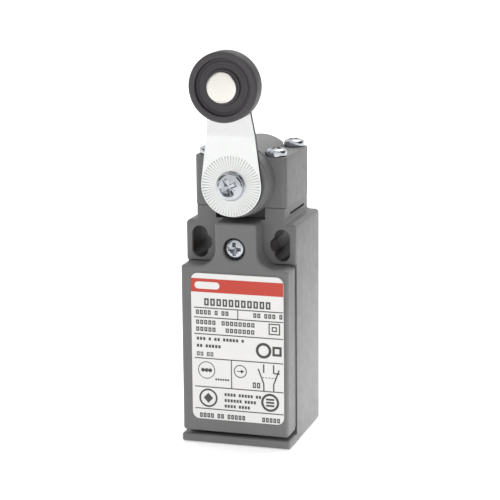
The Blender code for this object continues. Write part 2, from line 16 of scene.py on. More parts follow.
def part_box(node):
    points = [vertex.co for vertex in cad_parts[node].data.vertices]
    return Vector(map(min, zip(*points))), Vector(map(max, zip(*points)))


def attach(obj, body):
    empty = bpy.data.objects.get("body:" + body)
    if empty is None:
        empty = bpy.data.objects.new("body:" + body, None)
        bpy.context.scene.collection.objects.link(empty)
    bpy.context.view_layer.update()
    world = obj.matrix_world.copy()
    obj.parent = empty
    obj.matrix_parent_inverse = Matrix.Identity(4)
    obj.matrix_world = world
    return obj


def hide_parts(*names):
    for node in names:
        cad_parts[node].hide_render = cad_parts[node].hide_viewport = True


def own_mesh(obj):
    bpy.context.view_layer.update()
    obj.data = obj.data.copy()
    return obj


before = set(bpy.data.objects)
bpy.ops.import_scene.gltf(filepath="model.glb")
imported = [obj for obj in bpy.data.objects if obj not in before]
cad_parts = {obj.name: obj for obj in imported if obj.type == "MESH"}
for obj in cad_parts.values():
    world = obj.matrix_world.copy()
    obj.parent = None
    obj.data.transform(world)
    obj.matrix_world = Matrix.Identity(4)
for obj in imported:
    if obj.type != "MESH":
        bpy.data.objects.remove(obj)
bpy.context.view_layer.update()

# %% [markdown]
# Machine parts are drawn in millimetres, and Booleans behave better when a millimetre is one unit
# than when it is a thousandth. So every shape here is made in a bench frame: millimetres, with
# the origin at the middle of the underside. The last move of each piece brings it to metres.

# %% The bench frame
MM = 0.001
housing_low, housing_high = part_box("housing")
BODY_DEPTH = (housing_high.y - housing_low.y) / MM
ORIGIN = Vector((0, (housing_low.y + housing_high.y) / 2, housing_low.z))
TO_METRES = Matrix.Translation(ORIGIN) @ Matrix.Scale(MM, 4)


def bench_box(node):
    """Lowest and highest corner of a solid, in bench millimetres."""
    low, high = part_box(node)
    return (low - ORIGIN) / MM, (high - ORIGIN) / MM


def bench_centre(node):
    low, high = bench_box(node)
    return (low + high) / 2


SHAFT_Z = bench_centre("shaft_bush").z
ROLLER_Z = bench_centre("roller").z
HALF = BODY_DEPTH / 2
print(f"body {BODY_DEPTH:.1f} mm, shaft at {SHAFT_Z:.1f}, roller at {ROLLER_Z:.1f} mm")

# %% [markdown]
# ## Camera
# Product shots of small parts use a long lens, so that upright edges stay nearly parallel. The
# camera looks at the middle of the switch from a little to the right and a little above.

# %% Camera
CAMERA_AZIMUTH = math.radians(16.99)
CAMERA_ELEVATION = math.radians(12.24)
CAMERA_ROLL = math.radians(-0.5)
CAMERA_DISTANCE = 458.5
CAMERA_LENS = 123.6
CAMERA_TARGET = Vector((-0.11, -0.09, 49.8))


def make_camera():
    sight = Vector((math.sin(CAMERA_AZIMUTH) * math.cos(CAMERA_ELEVATION),
                    -math.cos(CAMERA_AZIMUTH) * math.cos(CAMERA_ELEVATION),
                    math.sin(CAMERA_ELEVATION)))
    data = bpy.data.cameras.new("bench_camera")
    data.lens = CAMERA_LENS
    data.sensor_width = 36.0
    data.clip_start = 0.01
    camera = bpy.data.objects.new("bench_camera", data)
    bpy.context.scene.collection.objects.link(camera)
    turn = sight.to_track_quat("Z", "Y").to_matrix().to_4x4()
    turn = turn @ Matrix.Rotation(CAMERA_ROLL, 4, "Z")
    place = TO_METRES @ (CAMERA_TARGET + sight * CAMERA_DISTANCE)
    camera.matrix_world = Matrix.Translation(place) @ turn
    bpy.context.scene.camera = camera
    return camera


camera = make_camera()
print("camera at", [round(c, 3) for c in camera.matrix_world.translation])

# %% [markdown]
# ## Floor and light
# Small parts are lit like jewellery. A white room fills every side softly, so one could stop
# there, but then edges vanish and metal looks like paper. So a large sheet lights the tops, a
# narrow low beam draws the foot of the right side, and black cards stand around the switch:
# bright metal mirrors them as its dark edges. The floor is one plain pale sheet.

# %% Floor and light
FLOOR_HALF = 30.0
FLOOR_GAP = 0.0002
FLOOR_GREY = 0.86
FLOOR_GLOW = 0.4
CARD_BLACK = 0.01
bpy.context.scene.view_settings.view_transform = "Standard"


def plain_sheet(name, half, grey):
    """A square sheet of one grey, which the floor and the cards share."""
    shape = bmesh.new()
    bmesh.ops.create_grid(shape, x_segments=1, y_segments=1, size=half)
    mesh = bpy.data.meshes.new(name)
    shape.to_mesh(mesh)
    shape.free()
    sheet = bpy.data.objects.new(name, mesh)
    bpy.context.scene.collection.objects.link(sheet)
    material = bpy.data.materials.new(name)
    material.use_nodes = True
    shader = material.node_tree.nodes["Principled BSDF"]
    shader.inputs["Base Color"].default_value = (grey, grey, grey, 1)
    mesh.materials.append(material)
    return sheet, shader


def make_floor():
    floor, shader = plain_sheet("floor", FLOOR_HALF, FLOOR_GREY)
    floor.location = (0, 0, housing_low.z - FLOOR_GAP)
    shader.inputs["Roughness"].default_value = 0.9
    shader.inputs["Specular IOR Level"].default_value = 0.0
    shader.inputs["Emission Color"].default_value = (1, 1, 1, 1)
    shader.inputs["Emission Strength"].default_value = FLOOR_GLOW


def soft_light(name, place, size, power, aim=(0, 0, 0), spread=180):
    """A square area light that faces `aim`. A small spread, in degrees, makes it a beam."""
    data = bpy.data.lights.new(name, "AREA")
    data.shape = "SQUARE"
    data.size = size
    data.energy = power
    data.spread = math.radians(spread)
    light = bpy.data.objects.new(name, data)
    bpy.context.scene.collection.objects.link(light)
    light.location = place
    light.rotation_euler = (Vector(aim) - Vector(place)).to_track_quat("-Z", "Y").to_euler()
    light.visible_camera = False


def make_sky():
    world = bpy.data.worlds.new("white_room")
    world.use_nodes = True
    background = world.node_tree.nodes["Background"]
    background.inputs["Color"].default_value = (1, 1, 1, 1)
    background.inputs["Strength"].default_value = 1.0
    bpy.context.scene.world = world


def dark_card(name, place, size, dims_plastic=False):
    """A black card for bright metal to mirror. One that dims plastic also shades it."""
    card, _ = plain_sheet(name, size / 2, CARD_BLACK)
    card.location = place
    card.rotation_euler = (-Vector(place)).to_track_quat("Z", "Y").to_euler()
    for ray in ("camera", "transmission", "shadow", "volume_scatter"):
        setattr(card, "visible_" + ray, False)
    card.visible_diffuse = dims_plastic


DARK_CARDS = {
    "card_upper_left": ((-0.34, -0.2, 0.22), 0.3),
    "card_upper_right": ((0.3, -0.3, 0.34), 0.22),
    "card_lower_left": ((-0.36, -0.3, -0.03), 0.12),
    "card_below": ((-0.04, -0.13, -0.045), 0.055),
}
LOW_RIGHT_FOOT = (0.015, 0, -0.048)

make_floor()
make_sky()
soft_light("key_from_low_right", (0.2, -0.02, -0.04), 0.05, 0.0195, LOW_RIGHT_FOOT, spread=31)
soft_light("top_sheet", (0.1, 0.25, 0.6), 0.4, 2.9)
for card_name, (card_place, card_size) in DARK_CARDS.items():
    dark_card(card_name, card_place, card_size)
dark_card("flag_right", (0.3, 0.02, 0.17), 0.44, dims_plastic=True)
print("two lights, a pale floor and", len(DARK_CARDS) + 1, "dark cards")

# %% [markdown]
# ## Finishes
# A moulded or plated surface is never one flat colour. Each finish below starts from a
# Principled shader and adds what the eye expects: spark-eroded grain on the plastic, a faint
# unevenness of gloss on the plating, ink and film that are not quite even. Patterns use object
# coordinates in metres, so one grain size holds on every piece.

# %% Node helpers
NOISE_LOW, NOISE_HIGH = 0.3, 0.7


def new_finish(name, colour, roughness, metallic=0.0, specular=0.5):
    material = bpy.data.materials.new(name)
    material.use_nodes = True
    shader = material.node_tree.nodes["Principled BSDF"]
    shader.inputs["Base Color"].default_value = (*colour, 1)
    shader.inputs["Roughness"].default_value = roughness
    shader.inputs["Metallic"].default_value = metallic
    shader.inputs["Specular IOR Level"].default_value = specular
    return material, material.node_tree, shader


def noise(tree, per_mm, detail=2.0):
    """Noise with a number of features per millimetre, from object coordinates."""
    coords = tree.nodes.new("ShaderNodeTexCoord")
    texture = tree.nodes.new("ShaderNodeTexNoise")
    texture.inputs["Scale"].default_value = per_mm / MM
    texture.inputs["Detail"].default_value = detail
    tree.links.new(coords.outputs["Object"], texture.inputs["Vector"])
    return texture.outputs["Fac"]


def spread(tree, value, low, high):
    """Maps noise, which mostly lies between NOISE_LOW and NOISE_HIGH, to a range."""
    ramp = tree.nodes.new("ShaderNodeMapRange")
    ramp.inputs["From Min"].default_value = NOISE_LOW
    ramp.inputs["From Max"].default_value = NOISE_HIGH
    ramp.inputs["To Min"].default_value = low
    ramp.inputs["To Max"].default_value = high
    tree.links.new(value, ramp.inputs["Value"])
    return ramp.outputs["Result"]


def vary_colour(tree, shader, value, dark, light):
    mix = tree.nodes.new("ShaderNodeMix")
    mix.data_type = "RGBA"
    mix.inputs["A"].default_value = (*dark, 1)
    mix.inputs["B"].default_value = (*light, 1)
    tree.links.new(value, mix.inputs["Factor"])
    tree.links.new(mix.outputs["Result"], shader.inputs["Base Color"])


def vary_roughness(tree, shader, value, low, high):
    tree.links.new(spread(tree, value, low, high), shader.inputs["Roughness"])


def emboss(tree, shader, value, height_mm):
    bump = tree.nodes.new("ShaderNodeBump")
    bump.inputs["Distance"].default_value = height_mm * MM
    bump.inputs["Strength"].default_value = 1.0
    tree.links.new(value, bump.inputs["Height"])
    tree.links.new(bump.outputs["Normal"], shader.inputs["Normal"])


def scaled(colour, factor):
    return tuple(min(c * factor, 1) for c in colour)


print("node helpers ready: noise, spread, colour, roughness and bump")

# %% [markdown]
# Three kinds of finish cover the whole switch. Plastic takes its look from its grain, metal from
# how evenly it mirrors, and film from how flat it lies. One more helper paints shade on a piece's
# sides: the lever's cut edges and the roller's tread are given a darker colour than their faces.

# %% Kinds of finish


def moulded_plastic(name, colour, roughness, grain_mm=0.22, depth_mm=0.012, specular=0.5):
    """Moulded plastic from a spark-eroded tool: fine even grain and a slight cloudiness."""
    material, tree, shader = new_finish(name, colour, roughness, specular=specular)
    cloud = spread(tree, noise(tree, 0.12, 3), 0, 1)
    vary_colour(tree, shader, cloud, scaled(colour, 0.94), scaled(colour, 1.06))
    emboss(tree, shader, noise(tree, 1 / grain_mm, 3), depth_mm)
    vary_roughness(tree, shader, noise(tree, 0.5, 2), roughness - 0.05, roughness + 0.05)
    return material


def plated_metal(name, colour, roughness, depth_mm=0.004):
    """Plated or turned metal: nearly even, with a soft wave in its gloss and its level."""
    material, tree, shader = new_finish(name, colour, roughness, metallic=1.0)
    cloud = spread(tree, noise(tree, 0.35, 3), 0, 1)
    vary_colour(tree, shader, cloud, scaled(colour, 0.985), scaled(colour, 1.01))
    vary_roughness(tree, shader, noise(tree, 1.3, 4), roughness * 0.93, roughness * 1.08)
    emboss(tree, shader, noise(tree, 3.0, 3), depth_mm)
    return material


def paint_shade_on_sides(material, colour):
    """Paints shade on surfaces that run along Y, such as cut edges and a tread, with a darker colour.
    """
    tree = material.node_tree
    shader = tree.nodes["Principled BSDF"]
    coords = tree.nodes.new("ShaderNodeTexCoord")
    split = tree.nodes.new("ShaderNodeSeparateXYZ")
    size = tree.nodes.new("ShaderNodeMath")
    size.operation = "ABSOLUTE"
    facing = tree.nodes.new("ShaderNodeMapRange")
    facing.inputs["From Min"].default_value = 0.35
    facing.inputs["From Max"].default_value = 0.6
    mix = tree.nodes.new("ShaderNodeMix")
    mix.data_type = "RGBA"
    mix.inputs["A"].default_value = (*colour, 1)
    tree.links.new(coords.outputs["Normal"], split.inputs["Vector"])
    tree.links.new(split.outputs["Y"], size.inputs[0])
    tree.links.new(size.outputs["Value"], facing.inputs["Value"])
    tree.links.new(facing.outputs["Result"], mix.inputs["Factor"])
    tree.links.new(shader.inputs["Base Color"].links[0].from_socket, mix.inputs["B"])
    tree.links.new(mix.outputs["Result"], shader.inputs["Base Color"])


def printed_film(name, colour, roughness):
    """Foil or ink: almost one colour, on a surface with a slight orange peel."""
    material, tree, shader = new_finish(name, colour, roughness)
    vary_colour(tree, shader, spread(tree, noise(tree, 0.2, 2), 0, 1), scaled(colour, 0.985), colour)
    emboss(tree, shader, noise(tree, 0.5, 2), 0.003)
    return material


print("three kinds of finish: plastic, metal and film")

# %% [markdown]
# The colours are linear values, so a mid grey plastic is only about 0.14. Each finish is made
# once and shared by all the pieces that have it on the real switch.

# %% Finishes of this switch
body_plastic = moulded_plastic("body_plastic", (0.140, 0.140, 0.141), 0.48)
roller_plastic = moulded_plastic("roller_plastic", (0.064, 0.060, 0.064), 0.45, 0.15, 0.006, 0.22)
# painted shade: the roller's tread and sides are darker than its faces
paint_shade_on_sides(roller_plastic, (0.036, 0.034, 0.036))
carrier_plastic = moulded_plastic("carrier_plastic", (0.03, 0.03, 0.033), 0.4)
cream_plastic = moulded_plastic("cream_plastic", (0.62, 0.58, 0.47), 0.45)
red_plastic = moulded_plastic("red_plastic", (0.42, 0.045, 0.035), 0.4)
# bore_shade is painted shade for the walls of the fixing holes
bore_shade = moulded_plastic("bore_shade", (0.035, 0.026, 0.022), 0.5)
black_rubber = moulded_plastic("black_rubber", (0.02, 0.02, 0.021), 0.75, 0.12, 0.01)
lever_zinc = plated_metal("lever_zinc", (0.84, 0.85, 0.84), 0.42, 0.0012)
# painted shade: the lever's cut edges are darker than its faces
paint_shade_on_sides(lever_zinc, (0.05, 0.05, 0.055))
screw_zinc = plated_metal("screw_zinc", (0.50, 0.52, 0.55), 0.18)
pin_nickel = plated_metal("pin_nickel", (0.77, 0.75, 0.70), 0.34)
turned_steel = plated_metal("turned_steel", (0.56, 0.56, 0.57), 0.3)
spring_steel = plated_metal("spring_steel", (0.48, 0.48, 0.5), 0.25)
contact_brass = plated_metal("contact_brass", (0.78, 0.6, 0.3), 0.3)
contact_silver = plated_metal("contact_silver", (0.88, 0.87, 0.83), 0.24)
bush_bronze = plated_metal("bush_bronze", (0.55, 0.36, 0.19), 0.42, 0.01)
label_film = printed_film("label_film", (0.75, 0.745, 0.73), 0.38)
label_red = printed_film("label_red", (0.52, 0.05, 0.03), 0.4)
label_ink = printed_film("label_ink", (0.06, 0.06, 0.062), 0.5)
print(len(bpy.data.materials), "materials in the scene")

# %% [markdown]
# ## Tools for making shapes
# Most of the switch is moulded or turned, so a few ways of making shapes do nearly all of it:
# lofting rounded outlines, turning a profile about an axis, and cutting with Booleans. A loft
# gives moulded edges their true radius without a bevel that could fail on a cut solid.

# %% Lofts and outlines
WELD = 1e-5
LEAST_RADIUS = 0.02


def place_in_scene(name, mesh):
    piece = bpy.data.objects.new(name, mesh)
    bpy.context.scene.collection.objects.link(piece)
    return piece


def from_rings(name, rings, closed=False):
    """Joins rings of equal length into a solid: capped at both ends, or closed on itself."""
    shape = bmesh.new()
    loops = [[shape.verts.new(point) for point in ring] for ring in rings]
    pairs = list(zip(loops, loops[1:]))
    if closed:
        pairs.append((loops[-1], loops[0]))
    for lower, upper in pairs:
        count = len(lower)
        for i in range(count):
            j = (i + 1) % count
            shape.faces.new((lower[i], lower[j], upper[j], upper[i]))
    if not closed:
        shape.faces.new(list(reversed(loops[0])))
        shape.faces.new(loops[-1])
    bmesh.ops.remove_doubles(shape, verts=shape.verts, dist=WELD)
    bmesh.ops.recalc_face_normals(shape, faces=shape.faces)
    mesh = bpy.data.meshes.new(name)
    shape.to_mesh(mesh)
    shape.free()
    return place_in_scene(name, mesh)


def arc(centre, radius, start, stop, count=8):
    """Points of an arc, in degrees anticlockwise."""
    turns = [math.radians(start + (stop - start) * i / count) for i in range(count + 1)]
    return [(centre[0] + radius * math.cos(a), centre[1] + radius * math.sin(a)) for a in turns]


def rounded_outline(low, high, radii, count=8):
    """A rectangle with four corner radii: right top, left top, left bottom, right bottom."""
    corners = ((high[0], high[1], -1, -1), (low[0], high[1], 1, -1),
               (low[0], low[1], 1, 1), (high[0], low[1], -1, 1))
    points = []
    for i, (x, y, sx, sy) in enumerate(corners):
        radius = max(radii[i], LEAST_RADIUS)
        points += arc((x + sx * radius, y + sy * radius), radius, 90 * i, 90 * i + 90, count)
    return points


def edge_steps(start, stop, first=0.0, last=0.0, count=5):
    """(height, inset) pairs of a stack whose first and last edges are rounded."""
    steps = []
    if first:
        steps += [(start + first * (1 - math.cos(a)), first * (1 - math.sin(a)))
                  for a in (math.pi / 2 * i / count for i in range(count))]
    steps.append((start + first, 0.0))
    steps.append((stop - last, 0.0))
    if last:
        steps += [(stop - last * (1 - math.sin(a)), last * (1 - math.cos(a)))
                  for a in (math.pi / 2 * i / count for i in range(1, count + 1))]
    return steps


def tower(name, xs, ys, zs, radii, bottom=0.0, top=0.0):
    """An upright block with rounded corners and rounded bottom and top edges."""
    rings = []
    for z, inset in edge_steps(zs[0], zs[1], bottom, top):
        shrunk = [max(r - inset, LEAST_RADIUS) for r in radii]
        low, high = (xs[0] + inset, ys[0] + inset), (xs[1] - inset, ys[1] - inset)
        outline = rounded_outline(low, high, shrunk)
        rings.append([(x, y, z) for x, y in outline])
    return from_rings(name, rings)


print("lofts and outlines ready")

# %% [markdown]
# The two shapes that need no outline are a plain block and a turned profile. A turned profile is
# a list of (radius, height) points, which is also how a lathe drawing gives a part.

# %% Blocks and turned shapes


def block(name, xs, ys, zs, edge=0.0):
    """A plain block, optionally with all its edges rounded."""
    shape = bmesh.new()
    low, high = Vector((xs[0], ys[0], zs[0])), Vector((xs[1], ys[1], zs[1]))
    place = Matrix.Translation((low + high) / 2) @ Matrix.Diagonal((*(high - low), 1))
    bmesh.ops.create_cube(shape, size=1.0, matrix=place)
    if edge:
        bmesh.ops.bevel(shape, geom=shape.edges[:], offset=edge, offset_type="OFFSET", segments=3,
                        profile=0.5, affect="EDGES")
    mesh = bpy.data.meshes.new(name)
    shape.to_mesh(mesh)
    shape.free()
    return place_in_scene(name, mesh)


AXIS_TURN = {
    "X": Matrix.Rotation(math.pi / 2, 4, "Y"),
    "Y": Matrix.Rotation(math.pi / 2, 4, "X"),
    "Z": Matrix.Identity(4),
}


def turned(name, profile, axis="Y", centre=(0, 0, 0), steps=96):
    """Turns (radius, height) points about an axis. Height runs along +X, -Y (forward) or +Z."""
    rings = [[(r * math.cos(a), r * math.sin(a), h)
              for a in (2 * math.pi * i / steps for i in range(steps))] for r, h in profile]
    piece = from_rings(name, rings, closed=profile[0][0] > 0 and profile[-1][0] > 0)
    piece.data.transform(Matrix.Translation(centre) @ AXIS_TURN[axis])
    return piece


def rod(name, radius, ends, axis="Y", centre=(0, 0, 0), steps=32):
    """A plain round bar between two heights on its axis, mostly used to drill a hole."""
    low, high = sorted(ends)
    return turned(name, [(0, high), (radius, high), (radius, low), (0, low)], axis, centre, steps)


print("blocks and turned shapes ready")

# %% [markdown]
# Cutting and joining use the exact Boolean solver, which is slower than the others but keeps
# thin walls closed. Cutters always stand a little past the face they cut, because two faces in
# one plane leave a Boolean to guess.

# %% Cut, join and hand over


def boolean(piece, tool, operation):
    """Cuts or joins with a tool, which is used up."""
    modifier = piece.modifiers.new(operation.lower(), "BOOLEAN")
    modifier.operation = operation
    modifier.solver = "EXACT"
    modifier.object = tool
    settle(piece)
    bpy.data.objects.remove(tool, do_unlink=True)


def settle(piece):
    """Applies all modifiers of a piece."""
    bpy.context.view_layer.update()
    evaluated = piece.evaluated_get(bpy.context.evaluated_depsgraph_get())
    mesh = bpy.data.meshes.new_from_object(evaluated)
    piece.modifiers.clear()
    piece.data = mesh


def cut(piece, *tools):
    for tool in tools:
        boolean(piece, tool, "DIFFERENCE")


def join(piece, *tools):
    for tool in tools:
        boolean(piece, tool, "UNION")


def hand_over(piece, body, finish, slot, *nodes, smooth=30):
    """Brings a bench piece to metres, gives it its finish and hands it to its body."""
    piece.data.transform(TO_METRES)
    piece.data.materials.clear()
    piece.data.materials.append(finish)
    piece.data.shade_smooth()
    piece.data.set_sharp_from_angle(angle=math.radians(smooth))
    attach(piece, body)
    if nodes:
        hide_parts(*nodes)
    return piece


print("cutting, joining and handing over ready")

# %% [markdown]
# ## Housing
# The housing is one deep moulding: a tube with a floor, two ears for the fixing screws, and a
# neck for the head. It could be one box with cuts, but each storey has its own front: the ledge
# under the cover, the rim behind it, the ears, and the narrower neck on top. So it is four
# lofted towers joined into one, and then hollowed.

# %% Housing sizes
PAST = 1.0
ABOVE_NECK = 64
RIM_Y = -7.7
EAR_Y = -8.7
LEDGE_TOP = 2.2
COVER_SHOULDER = 48.2
COVER_HALF = bench_box("cover")[1].x
COVER_SCREW_Z = 53.0
SHOULDER_Z = 59.2
NECK_HALF = 12.0
NECK_REAR = bench_box("head_body")[1].y
NECK_TOP = bench_box("housing")[1].z
CHAMBER_HALF = 11.6
CHAMBER_FLOOR, CHAMBER_TOP = 9.0, 45.4
ENTRY_Y = 2.2
PLUNGER_Y = 2.5
FIXING_X, FIXING_Z = 11.2, 53.3
FIXING_RADIUS = 2.15
SPRING_BORE, SPRING_SEAT = 4.8, 50
STEM_BORE, STEM_END = 2.8, 44
NOTCH_HALF = 6.7
ARM_INNER, ARM_OUTER = 8.0, 10.0
GROOVE_YS, GROOVE_ZS = (-3.5, 10.4), (60.6, 61.3)
PILOT_RADIUS = 1.65
THREAD_RADIUS = 1.6
PIN_LOW, PIN_HIGH = bench_box("cover_hinge_pin")
PIN_Y, PIN_Z = (PIN_LOW.y + PIN_HIGH.y) / 2, (PIN_LOW.z + PIN_HIGH.z) / 2
PIN_FIT = 0.8
PIN_EYE = 0.9
HEAD_SCREW_XS = [bench_centre(f"head_screw_{number}").x for number in (1, 2)]
HEAD_SCREW_YS = [bench_centre(f"head_screw_{number}").y for number in (1, 3)]
print(f"neck {2 * NECK_HALF:.0f} mm wide up to {NECK_TOP:.1f} mm")

# %% [markdown]
# A fixing hole is a slot with a bulge, so that the switch can be hung on a screw or bolted in
# several positions. Its mouth is flared, because a mould never leaves a knife edge there. The
# inside carries a thin dark skin of painted shade, so that the deep hole reads as deep.

# %% Fixing holes


def side_span(side, inner, outer):
    """An x range on the left (-1) or the right (1)."""
    return sorted((side * inner, side * outer))


def fixing_hole_outline(side, radius=FIXING_RADIUS):
    """An upright slot with a round bulge towards the middle, drawn as one outline."""
    straight, bulge = 2.1, 1.2
    points = arc((0, straight), radius, 0, 180, 16)
    rise = math.sqrt(radius ** 2 - (radius - bulge) ** 2)
    start = math.degrees(math.atan2(rise, -(radius - bulge)))
    points += arc((-bulge, 0), radius, start, 360 - start, 18)
    points += arc((0, -straight), radius, 180, 360, 16)
    return [(side * (FIXING_X + x), FIXING_Z + z) for x, z in points]


def flared_hole(name, outline, ys, flare=0.12):
    """A cutter through two faces, a little wider where it meets each of them."""
    cx = sum(x for x, _ in outline) / len(outline)
    cz = sum(z for _, z in outline) / len(outline)
    front, back = ys
    stations = [(front - PAST, flare + PAST), (front, flare), (front + flare, 0),
                (back - flare, 0), (back, flare), (back + PAST, flare + PAST)]
    rings = []
    for y, extra in stations:
        ring = []
        for x, z in outline:
            away = Vector((x - cx, z - cz))
            grown = away + away.normalized() * extra
            ring.append((cx + grown.x, y, cz + grown.y))
        rings.append(ring)
    return from_rings(name, rings)


def hole_shade_skin(side):
    """A thin dark skin of painted shade on the wall of a fixing hole, where little light reaches."""
    skin, front, back = 0.04, EAR_Y + 1.2, HALF - 0.2
    rings = []
    for y, shrink in ((front, 0), (back, 0), (back, skin), (front, skin)):
        outline = fixing_hole_outline(side, FIXING_RADIUS - shrink)
        rings.append([(x, y, z) for x, z in outline])
    return from_rings(f"hole_shade_skin_{'right' if side > 0 else 'left'}", rings, closed=True)


print("a fixing hole has", len(fixing_hole_outline(1)), "outline points")

# %% [markdown]
# The neck and the cable entry are lofts and turned shapes too. The neck rises from the shoulders
# with a hollow corner. A true helical thread in the entry would never be seen, so rings stand
# for it.

# %% Neck and cable entry


def neck_tower():
    """The neck, with a hollow corner where it rises from the shoulders."""
    fillet, top_edge, root = 0.6, 0.15, 1.5
    steps = [(SHOULDER_Z - root, -fillet)]
    steps += [(SHOULDER_Z + fillet * (1 - math.cos(a)), -fillet * (1 - math.sin(a)))
              for a in (math.pi / 2 * i / 6 for i in range(7))]
    steps += [(NECK_TOP - top_edge, 0), (NECK_TOP, top_edge)]
    rings = []
    for z, inset in steps:
        low = (-NECK_HALF + inset, max(EAR_Y + inset, EAR_Y + 0.001))
        high = (NECK_HALF - inset, min(NECK_REAR - inset, HALF - 0.2))
        rings.append([(x, y, z) for x, y in rounded_outline(low, high, (0.5, 0.5, 0.5, 0.5))])
    return from_rings("neck", rings)


def entry_profile():
    """The cable entry: rings stand for its thread, and the mouth has a lead-in."""
    core, root, mouth, pitch, turns, lead = 9.2, 9.9, 10.1, 1.5, 5, 0.6
    profile = [(0, CHAMBER_FLOOR + PAST), (core, CHAMBER_FLOOR + PAST)]
    for i in range(turns, 0, -1):
        profile += [(core, lead + pitch * i), (root, lead + pitch * (i - 0.5))]
    return profile + [(core, mouth - core), (mouth, 0), (mouth, -PAST), (0, -PAST)]


print("the cable entry's profile has", len(entry_profile()), "points")

# %% [markdown]
# Now the towers are joined, and everything that is hollow is cut: the chamber for the contacts,
# the line beside the cover, the fixing holes, the groove under the head and the screw holes.

# %% Join and drill the housing


def make_housing():
    full, rear = (-HALF, HALF), (0.4, 0.4)
    housing = tower("housing_moulding", full, (RIM_Y, HALF), (1.0, COVER_SHOULDER + 1),
                    (*rear, 0.25, 0.25))
    ears = tower("ears", full, (EAR_Y, HALF), (COVER_SHOULDER + 0.3, SHOULDER_Z),
                 (*rear, 0.5, 0.5), top=1.2)
    ledge = tower("ledge", full, full, (0, LEDGE_TOP), (*rear, 0.7, 0.7), 0.5, 0.6)
    join(housing, ears, ledge, neck_tower())
    chamber = tower("chamber", (-CHAMBER_HALF, CHAMBER_HALF), (RIM_Y - 3, CHAMBER_HALF),
                    (CHAMBER_FLOOR, CHAMBER_TOP), (1.5, 1.5, 0.3, 0.3))
    cut(housing, chamber, turned("entry", entry_profile(), "Z", (0, ENTRY_Y, 0)))
    for side in (-1, 1):
        joint = side_span(side, COVER_HALF - 0.1, COVER_HALF + 0.14)
        joint_zs = (LEDGE_TOP + 0.2, COVER_SHOULDER - 1.6)
        cut(housing, block("joint_line", joint, (RIM_Y - PAST, RIM_Y + 2), joint_zs))
        cut(housing, flared_hole("fixing", fixing_hole_outline(side), (EAR_Y, HALF)))
        groove = side_span(side, NECK_HALF - 0.7, NECK_HALF + 0.5)
        cut(housing, block("groove", groove, GROOVE_YS, GROOVE_ZS))
    drill_housing(housing)
    return housing


def drill_housing(housing):
    """The bores for the plunger and its spring, for the cover's screw and for the head's."""
    spring_bore = [(0, ABOVE_NECK), (SPRING_BORE, ABOVE_NECK), (SPRING_BORE, SPRING_SEAT),
                   (STEM_BORE, SPRING_SEAT), (STEM_BORE, STEM_END), (0, STEM_END)]
    cut(housing, turned("spring_bore", spring_bore, "Z", (0, PLUNGER_Y, 0), 48))
    cut(housing, block("boss_notch", (-NOTCH_HALF, NOTCH_HALF), (EAR_Y - PAST, -5.5), (60, ABOVE_NECK)))
    cut(housing, rod("screw_hole", PILOT_RADIUS, (4.5, 9.7), "Y", (0, 0, COVER_SCREW_Z)))
    for x in HEAD_SCREW_XS:
        for y in HEAD_SCREW_YS:
            cut(housing, rod("thread", THREAD_RADIUS, (58.6, ABOVE_NECK), "Z", (x, y, 0), 24))


def pin_hole():
    """The cutter for the hinge pin, which both the housing's arms and the cover need."""
    return rod("pin_hole", PIN_FIT, (-11, 11), "X", (0, PIN_Y, PIN_Z))


def add_hinge_arms(housing):
    """Two arms behind the cover's foot hold the hinge pin."""
    for side in (-1, 1):
        xs = side_span(side, ARM_INNER, ARM_OUTER)
        join(housing, block("arm", xs, (PIN_Y, RIM_Y + 1), (PIN_Z - PIN_EYE, PIN_Z + PIN_EYE)))
        join(housing, rod("eye", PIN_EYE, xs, "X", (0, PIN_Y, PIN_Z)))
    cut(housing, pin_hole())


housing = make_housing()
add_hinge_arms(housing)
hand_over(housing, "housing", body_plastic, "body_plastic", "housing")
# painted shade: a dark skin on the wall of each fixing hole
for side in (-1, 1):
    hand_over(hole_shade_skin(side), "housing", bore_shade, "body_plastic")
print("housing:", len(housing.data.polygons), "faces, with two dark hole liners")

# %% [markdown]
# ## Cover
# The cover is a shallow tray with a tongue that carries its screw. Seen from the front its
# outline has hollow corners beside the tongue. The same outline, pulled in step by step along
# a quarter circle, gives the rounded front edge. Lofting it keeps the hollow corners true.

# %% Cover outline
COVER_BOTTOM = 3.1
TAB_RIGHT, TAB_LEFT = 6.0, 5.15
TAB_TOP = 60.0
TAB_FILLET = 4.6
SMALL_CORNER = 0.9
COVER_REAR = -8.0
TAB_REAR = -9.0
COVER_WALL = 1.6
COVER_EDGE = 0.8
HOLLOW_FRONT = -13.5
KNUCKLE_INNER, KNUCKLE_OUTER = 5.2, 7.6
ARM_ROOM = 0.3


def half_outline(inset, tab_half, corner_radius):
    """One side of the cover's front view, from the foot up to the tongue, with x positive."""
    half, shoulder = COVER_HALF - inset, COVER_SHOULDER - inset
    corner = max(corner_radius - inset, 0.1)
    small = max(SMALL_CORNER - inset, 0.1)
    points = arc((half - small, COVER_BOTTOM + inset + small), small, 270, 360, 5)
    points += arc((half - corner, shoulder - corner), corner, 0, 90, 6)
    if tab_half:
        hollow_centre = (tab_half + TAB_FILLET, COVER_SHOULDER + TAB_FILLET)
        points += arc(hollow_centre, TAB_FILLET + inset, 270, 180, 14)
        points += arc((tab_half - inset - small, TAB_TOP - inset - small), small, 0, 90, 5)
    return points


def cover_outline(inset, with_tab=True):
    """Front view of the cover, pulled in by `inset`."""
    right = half_outline(inset, TAB_RIGHT if with_tab else 0, 1.4)
    left = half_outline(inset, TAB_LEFT if with_tab else 0, 0.7)
    return right + [(-x, z) for x, z in reversed(left)]


def cover_body(name, ys, edge, with_tab):
    """A plate with the cover's outline, rounded at the front by `edge`."""
    stations = edge_steps(ys[0], ys[1], first=edge, count=7)
    rings = [[(x, y, z) for x, z in cover_outline(inset, with_tab)] for y, inset in stations]
    return from_rings(name, rings)


print("the cover's outline has", len(cover_outline(0)), "points")

# %% [markdown]
# Behind its face the cover is hollow and carries two knuckles for the hinge pin. Notches leave
# room for the housing's arms, so that the cover can swing down without touching them. The screw
# stands in a counterbore with a small chamfer.

# %% Build the cover


